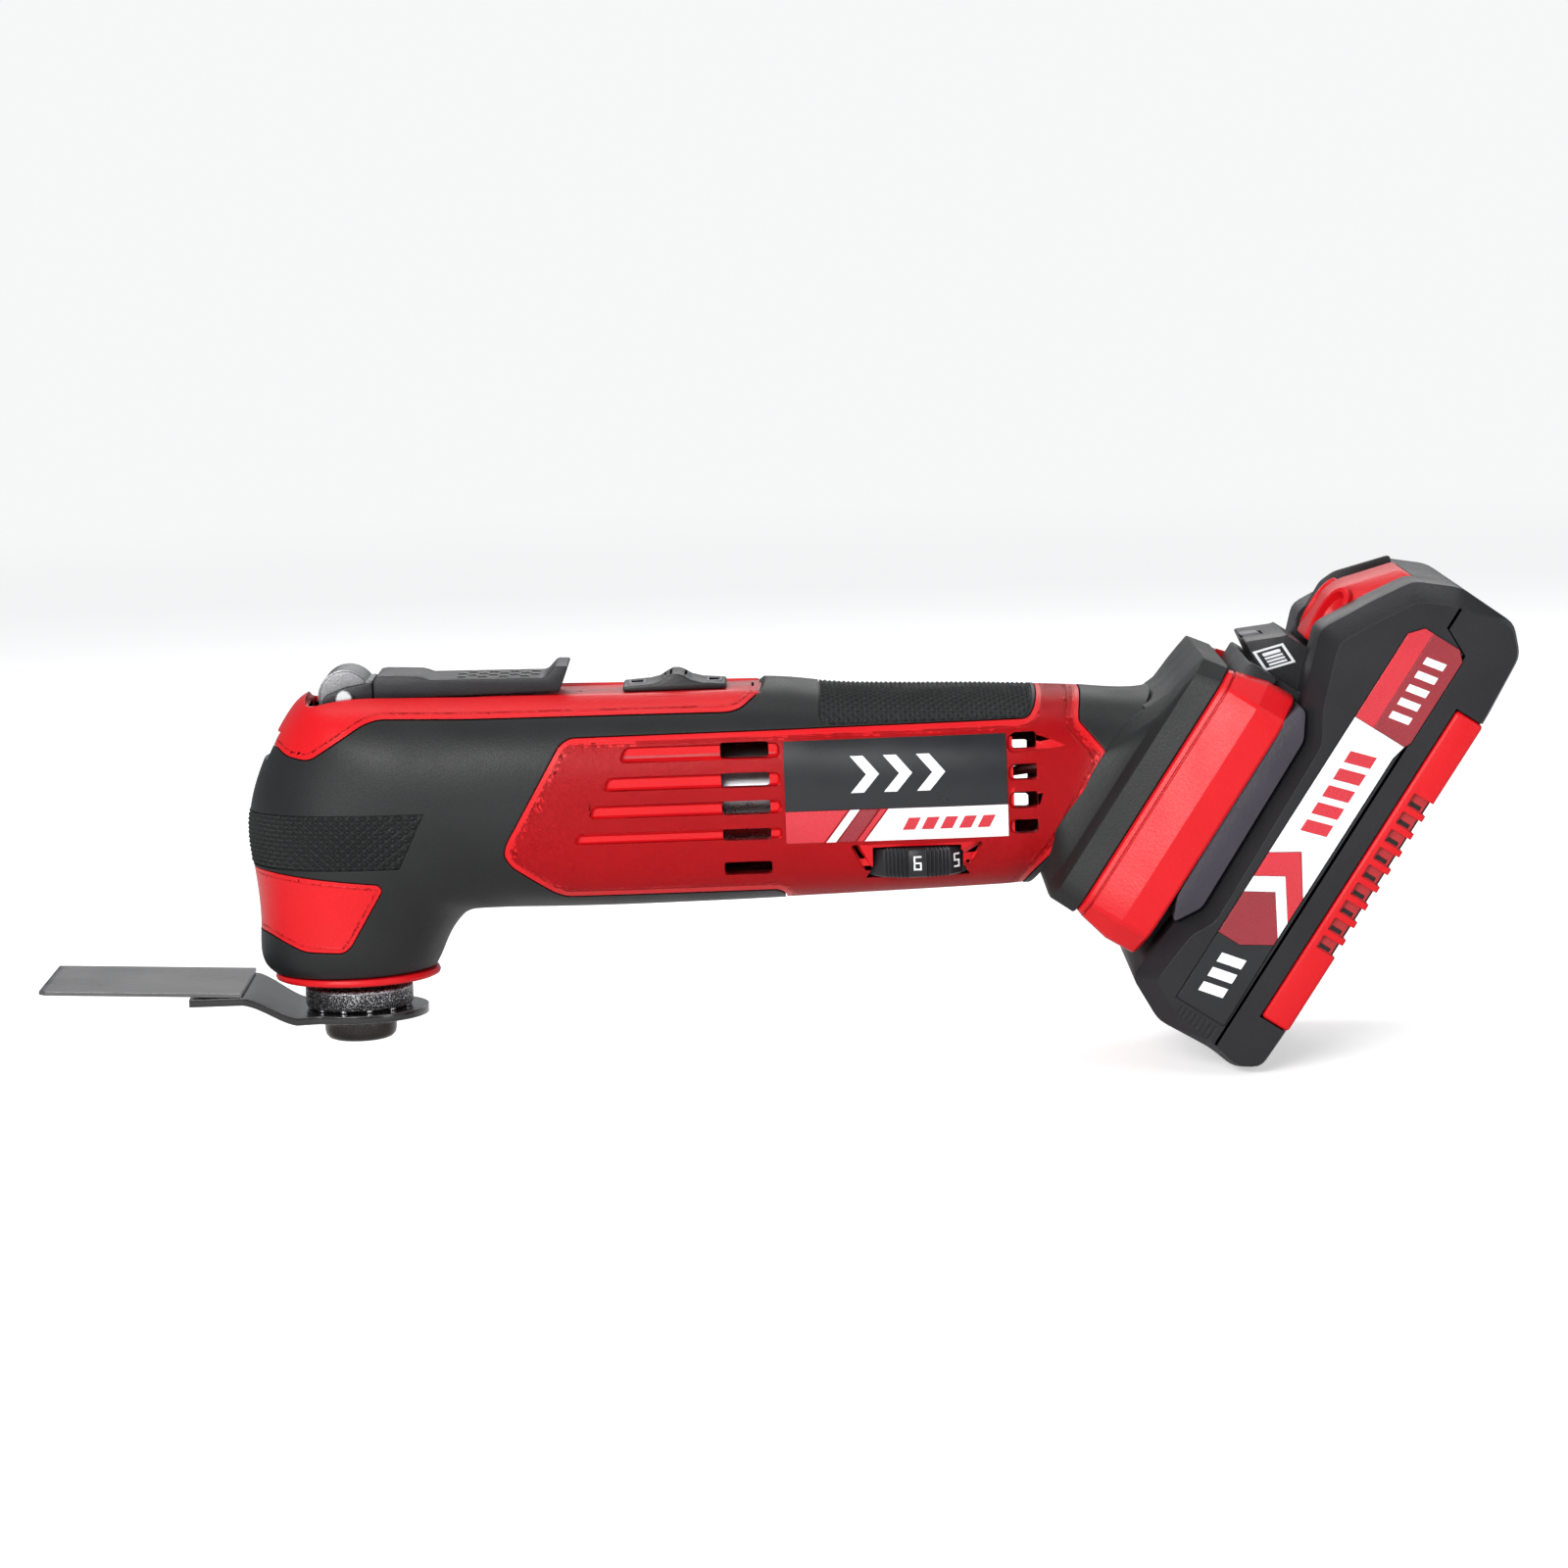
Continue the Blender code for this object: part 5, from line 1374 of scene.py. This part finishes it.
def rail_panel(side, tag):
    """Grained panel on the tool side of the case, with its raised edge."""
    outline = [(120.6, 147.4), (126.4, 144.9), (171.4, 143.6), (178.0, 145.4), (177.4, 147.2), (171.6, 150.4),
               (126.9, 151.2)]
    span = side_span(side, 22.6, BATTERY_HALF - 1.6)
    item = prism(tag + "_rail_panel", rounded(outline, 1.2, 3), *span, battery_xz)
    place_piece(bevelled(item, 0.8, 3), "battery", "purple")


def latch():
    """Red release latch: both shoulders slope, and each carries an oval thumb recess with a raised rim."""
    outline = [(190.4, 141.2), (202.2, 141.2), (206.0, 142.8), (216.8, 152.2), (213.0, 156.4), (193.0, 147.4)]
    drops = ((15.9, 5.2), (15.2, 4.2), (9.6, 0.4), (8.4, 0.0))
    rows = [(-y, drop) for y, drop in drops] + [(y, drop) for y, drop in reversed(drops)]
    shapes = []
    for y, drop in rows:
        lowered = [(a, b + drop * (1.0 if b < 147.0 else 0.3)) for a, b in outline]
        shapes.append((y, rounded(lowered, 1.4, 4)))
    body = lofted("release_latch", shapes, battery_xz)
    rim = [(0.0, -1.0), (4.9, -1.0), (4.9, 0.1), (4.5, 0.5), (3.9, 0.5), (0.0, 0.5)]
    bowl = [(0.0, -2.1), (2.0, -1.9), (3.2, -1.1), (3.8, 0.2), (4.0, 0.9), (4.0, 6.0), (0.0, 6.0)]
    for side in (-1.0, 1.0):
        join(body, thumb_oval("rim", rim, side))
        cut(body, thumb_oval("bowl", bowl, side))
    place_piece(body, "latch", "red", ("battery_latch",), angle=28.0)


def thumb_oval(name, profile, side):
    """A turned profile stretched into an oval and set on one shoulder of the latch."""
    across = (AWAY * 0.5 + Vector((0.0, side * 0.866, 0.0))).normalized()
    outwards = ALONG.cross(across) * side
    if outwards.dot(AWAY) > 0.0:
        outwards = -outwards
    centre = ALONG * 198.4 + AWAY * 142.9 + Vector((0.0, side * 12.2, LIFT))
    axes = Matrix((ALONG, outwards.cross(ALONG), outwards)).transposed().to_4x4()
    shape = turned(name, profile, 64)
    shape.data.transform(Matrix.Translation(Vector((0, 0, -LIFT * MM))))
    shape.data.transform(Matrix.Diagonal((1.55, 0.92, 1.0, 1.0)))
    shape.data.transform(Matrix.Translation(centre * MM) @ axes)
    return shape


def gauge():
    """Charge gauge on the side of the tower, and its check button on the slope."""
    corner, across, down = Vector((181.9, 132.0)), Vector((5.5, 4.9)), Vector((-2.15, 4.9))

    def quad(*sides):
        return [tuple(corner + across * u + down * v) for u, v in rectangle(*sides)]

    rim = prism("side_gauge_rim", quad(0.0, 1.0, 0.0, 1.0), -16.02, -15.6, battery_xz)
    cut(rim, prism("rim_inside", quad(0.09, 0.91, 0.1, 0.9), -18.0, -14.0, battery_xz))
    place_piece(rim, "battery", "film_white")
    marks = [quad(0.22, 0.8, 0.42 + 0.16 * row, 0.52 + 0.16 * row) for row in range(3)]
    marks.append(rounded(quad(0.22, 0.8, 0.2, 0.36), 0.35, 3))
    bars = [prism("side_bar", mark, -15.95, -15.6, battery_xz) for mark in marks]
    place_piece(merged("side_gauge_bars", bars), "battery", "film_white")
    outline = [(183.3, 128.9), (186.0, 132.1), (186.0, 134.2), (183.3, 131.2)]
    button = bevelled(prism("check_button", outline, -3.5, 3.5, battery_xz), 0.4, 3)
    place_piece(button, "gauge", "grey", ("gauge_button",))


# ---------------------------------------------------------------- deck details and carried-over parts

def deck_parts():
    """Floor of the deck, in the darker red painted as shade in the pocket, with a fine line round the switch's end.
    """
    floor = box("deck_floor", (9.4, -DECK_HALF - 1.2, 70.6), (97.2, DECK_HALF + 1.2, DECK_FLOOR + 0.02))
    cut(floor, switch_slot())
    trench = rounded(rectangle(54.6, 95.4, -10.6, 10.6), 2.0)
    line = plate("trench", trench, DECK_FLOOR - 0.5, DECK_FLOOR + 5)
    cut(line, plate("trench_inside", grown(trench, -0.5), DECK_FLOOR - 4, DECK_FLOOR + 9))
    cut(floor, line)
    place_piece(floor, "housing", "red_painted_shade")


CARRIED = {
    "gear_case": "alloy", "lower_spindle_bearing": "steel", "upper_spindle_bearing": "steel",
    "front_motor_bearing": "steel", "rear_motor_bearing": "steel", "motor_can": "steel", "motor_end_cap": "black",
    "motor_brush_left": "dark_steel", "motor_brush_right": "dark_steel", "control_board": "board",
    "power_switch": "black", "terminal_block": "black", "terminal_blade_left": "copper",
    "terminal_blade_right": "copper", "battery_lead": "lead", "motor_lead": "lead", "drive_fork": "steel",
    "rotor_shaft": "steel", "armature": "dark_steel", "commutator": "copper", "cooling_fan": "black",
    "eccentric": "steel", "eccentric_bearing": "steel", "switch_rod": "grey", "cell_board": "board",
}


def carried_over():
    looks = dict(CARRIED)
    looks.update({"housing_screw_%d" % number: "dark_steel" for number in range(1, 6)})
    looks.update({"cell_%d" % number: "wrap" for number in range(1, 6)})
    for node, look in looks.items():
        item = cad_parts[node]
        for slot in item.material_slots:
            slot.material = LOOKS[look]


# ---------------------------------------------------------------- stage

VIEW_RISE = math.radians(7.2)
VIEW_ROLL = math.radians(2.0)
VIEW_DISTANCE = 1.25
VIEW_WIDTH = 0.368
VIEW_CENTRE = Vector((0.1017, 0.0, 0.0566))
BACKDROP = (0.93, 0.935, 0.94, 1.0)


def floor():
    """A pale floor that fades into an even backdrop behind the tool."""
    ground = CAD_BOX[0].z / MM - LIFT - 0.3
    reach = 60000.0
    points = [(x, y, ground) for x, y in rectangle(-reach, reach, -reach, reach)]
    item = mesh_object("studio_floor", points, [(0, 1, 2, 3)])
    made = Nodes("studio_paper")
    seen = made.node("ShaderNodeLightPath").outputs["Is Camera Ray"]
    made.finish(Base_Color=made.mix(made.noise(3.0), (0.86, 0.86, 0.86, 1), (0.89, 0.89, 0.89, 1)),
                Roughness=made.spread(made.noise(40.0), 0.8, 0.95), Emission_Color=(1.0, 1.0, 1.0, 1.0),
                Emission_Strength=made.math('MULTIPLY', seen, 0.45))
    away = made.vector('LENGTH', made.node("ShaderNodeNewGeometry").outputs["Position"])
    fade = made.spread(away, 0.0, 1.0, 0.5, 1.8)
    glow = made.node("ShaderNodeEmission", Color=BACKDROP)
    blend = made.node("ShaderNodeMixShader")
    mixed = (made.math('MULTIPLY', fade, seen), made.shader.outputs[0], glow.outputs[0])
    for socket, value in zip(blend.inputs, mixed):
        made.feed(socket, value)
    made.feed(made.tree.nodes["Material Output"].inputs["Surface"], blend.outputs[0])
    item.data.materials.append(made.material)


def softbox(name, place, size, power):
    data = bpy.data.lights.new(name, 'AREA')
    data.shape = 'RECTANGLE'
    data.size, data.size_y = size
    data.energy = power
    item = linked(name, data)
    item.location = place
    item.rotation_euler = (VIEW_CENTRE - Vector(place)).to_track_quat('-Z', 'Y').to_euler()


def studio():
    world = bpy.data.worlds.new("studio")
    world.use_nodes = True
    tree = world.node_tree
    around = tree.nodes["Background"]
    around.inputs["Color"].default_value = (0.95, 0.97, 1.0, 1.0)
    around.inputs["Strength"].default_value = 0.34
    backdrop = tree.nodes.new("ShaderNodeBackground")
    backdrop.inputs["Color"].default_value = BACKDROP
    seen = tree.nodes.new("ShaderNodeLightPath")
    choice = tree.nodes.new("ShaderNodeMixShader")
    tree.links.new(seen.outputs["Is Camera Ray"], choice.inputs[0])
    tree.links.new(around.outputs[0], choice.inputs[1])
    tree.links.new(backdrop.outputs[0], choice.inputs[2])
    tree.links.new(choice.outputs[0], tree.nodes["World Output"].inputs["Surface"])
    bpy.context.scene.world = world
    bpy.context.scene.view_settings.view_transform = 'Standard'
    softbox("key", (-0.35, -1.15, 0.55), (0.8, 0.35), 19.0)
    softbox("fill", (0.95, -0.8, 0.30), (0.35, 0.9), 3.0)
    softbox("top", (0.1, 0.15, 1.0), (1.3, 0.25), 3.6)
    softbox("rear", (0.2, 0.9, 0.6), (0.9, 0.4), 3.0)


def camera():
    data = bpy.data.cameras.new("view")
    item = linked("view", data)
    back = Vector((0.0, -math.cos(VIEW_RISE), math.sin(VIEW_RISE)))
    item.location = VIEW_CENTRE + back * VIEW_DISTANCE
    look = (-back).to_track_quat('-Z', 'Y').to_matrix()
    item.rotation_euler = (look @ Matrix.Rotation(-VIEW_ROLL, 3, 'Z')).to_euler()
    data.lens_unit = 'FOV'
    data.angle = 2.0 * math.atan(VIEW_WIDTH / 2 / VIEW_DISTANCE)
    data.clip_start = 0.01
    bpy.context.scene.camera = item


housing_shells()
foot()
head_parts()
spindle_parts()
arm()
blade()
bolt()
lever()
switch()
dial()
housing_label()
battery()
deck_parts()
carried_over()
for stock in SKINS.values():
    bpy.data.meshes.remove(stock)
floor()
studio()
camera()
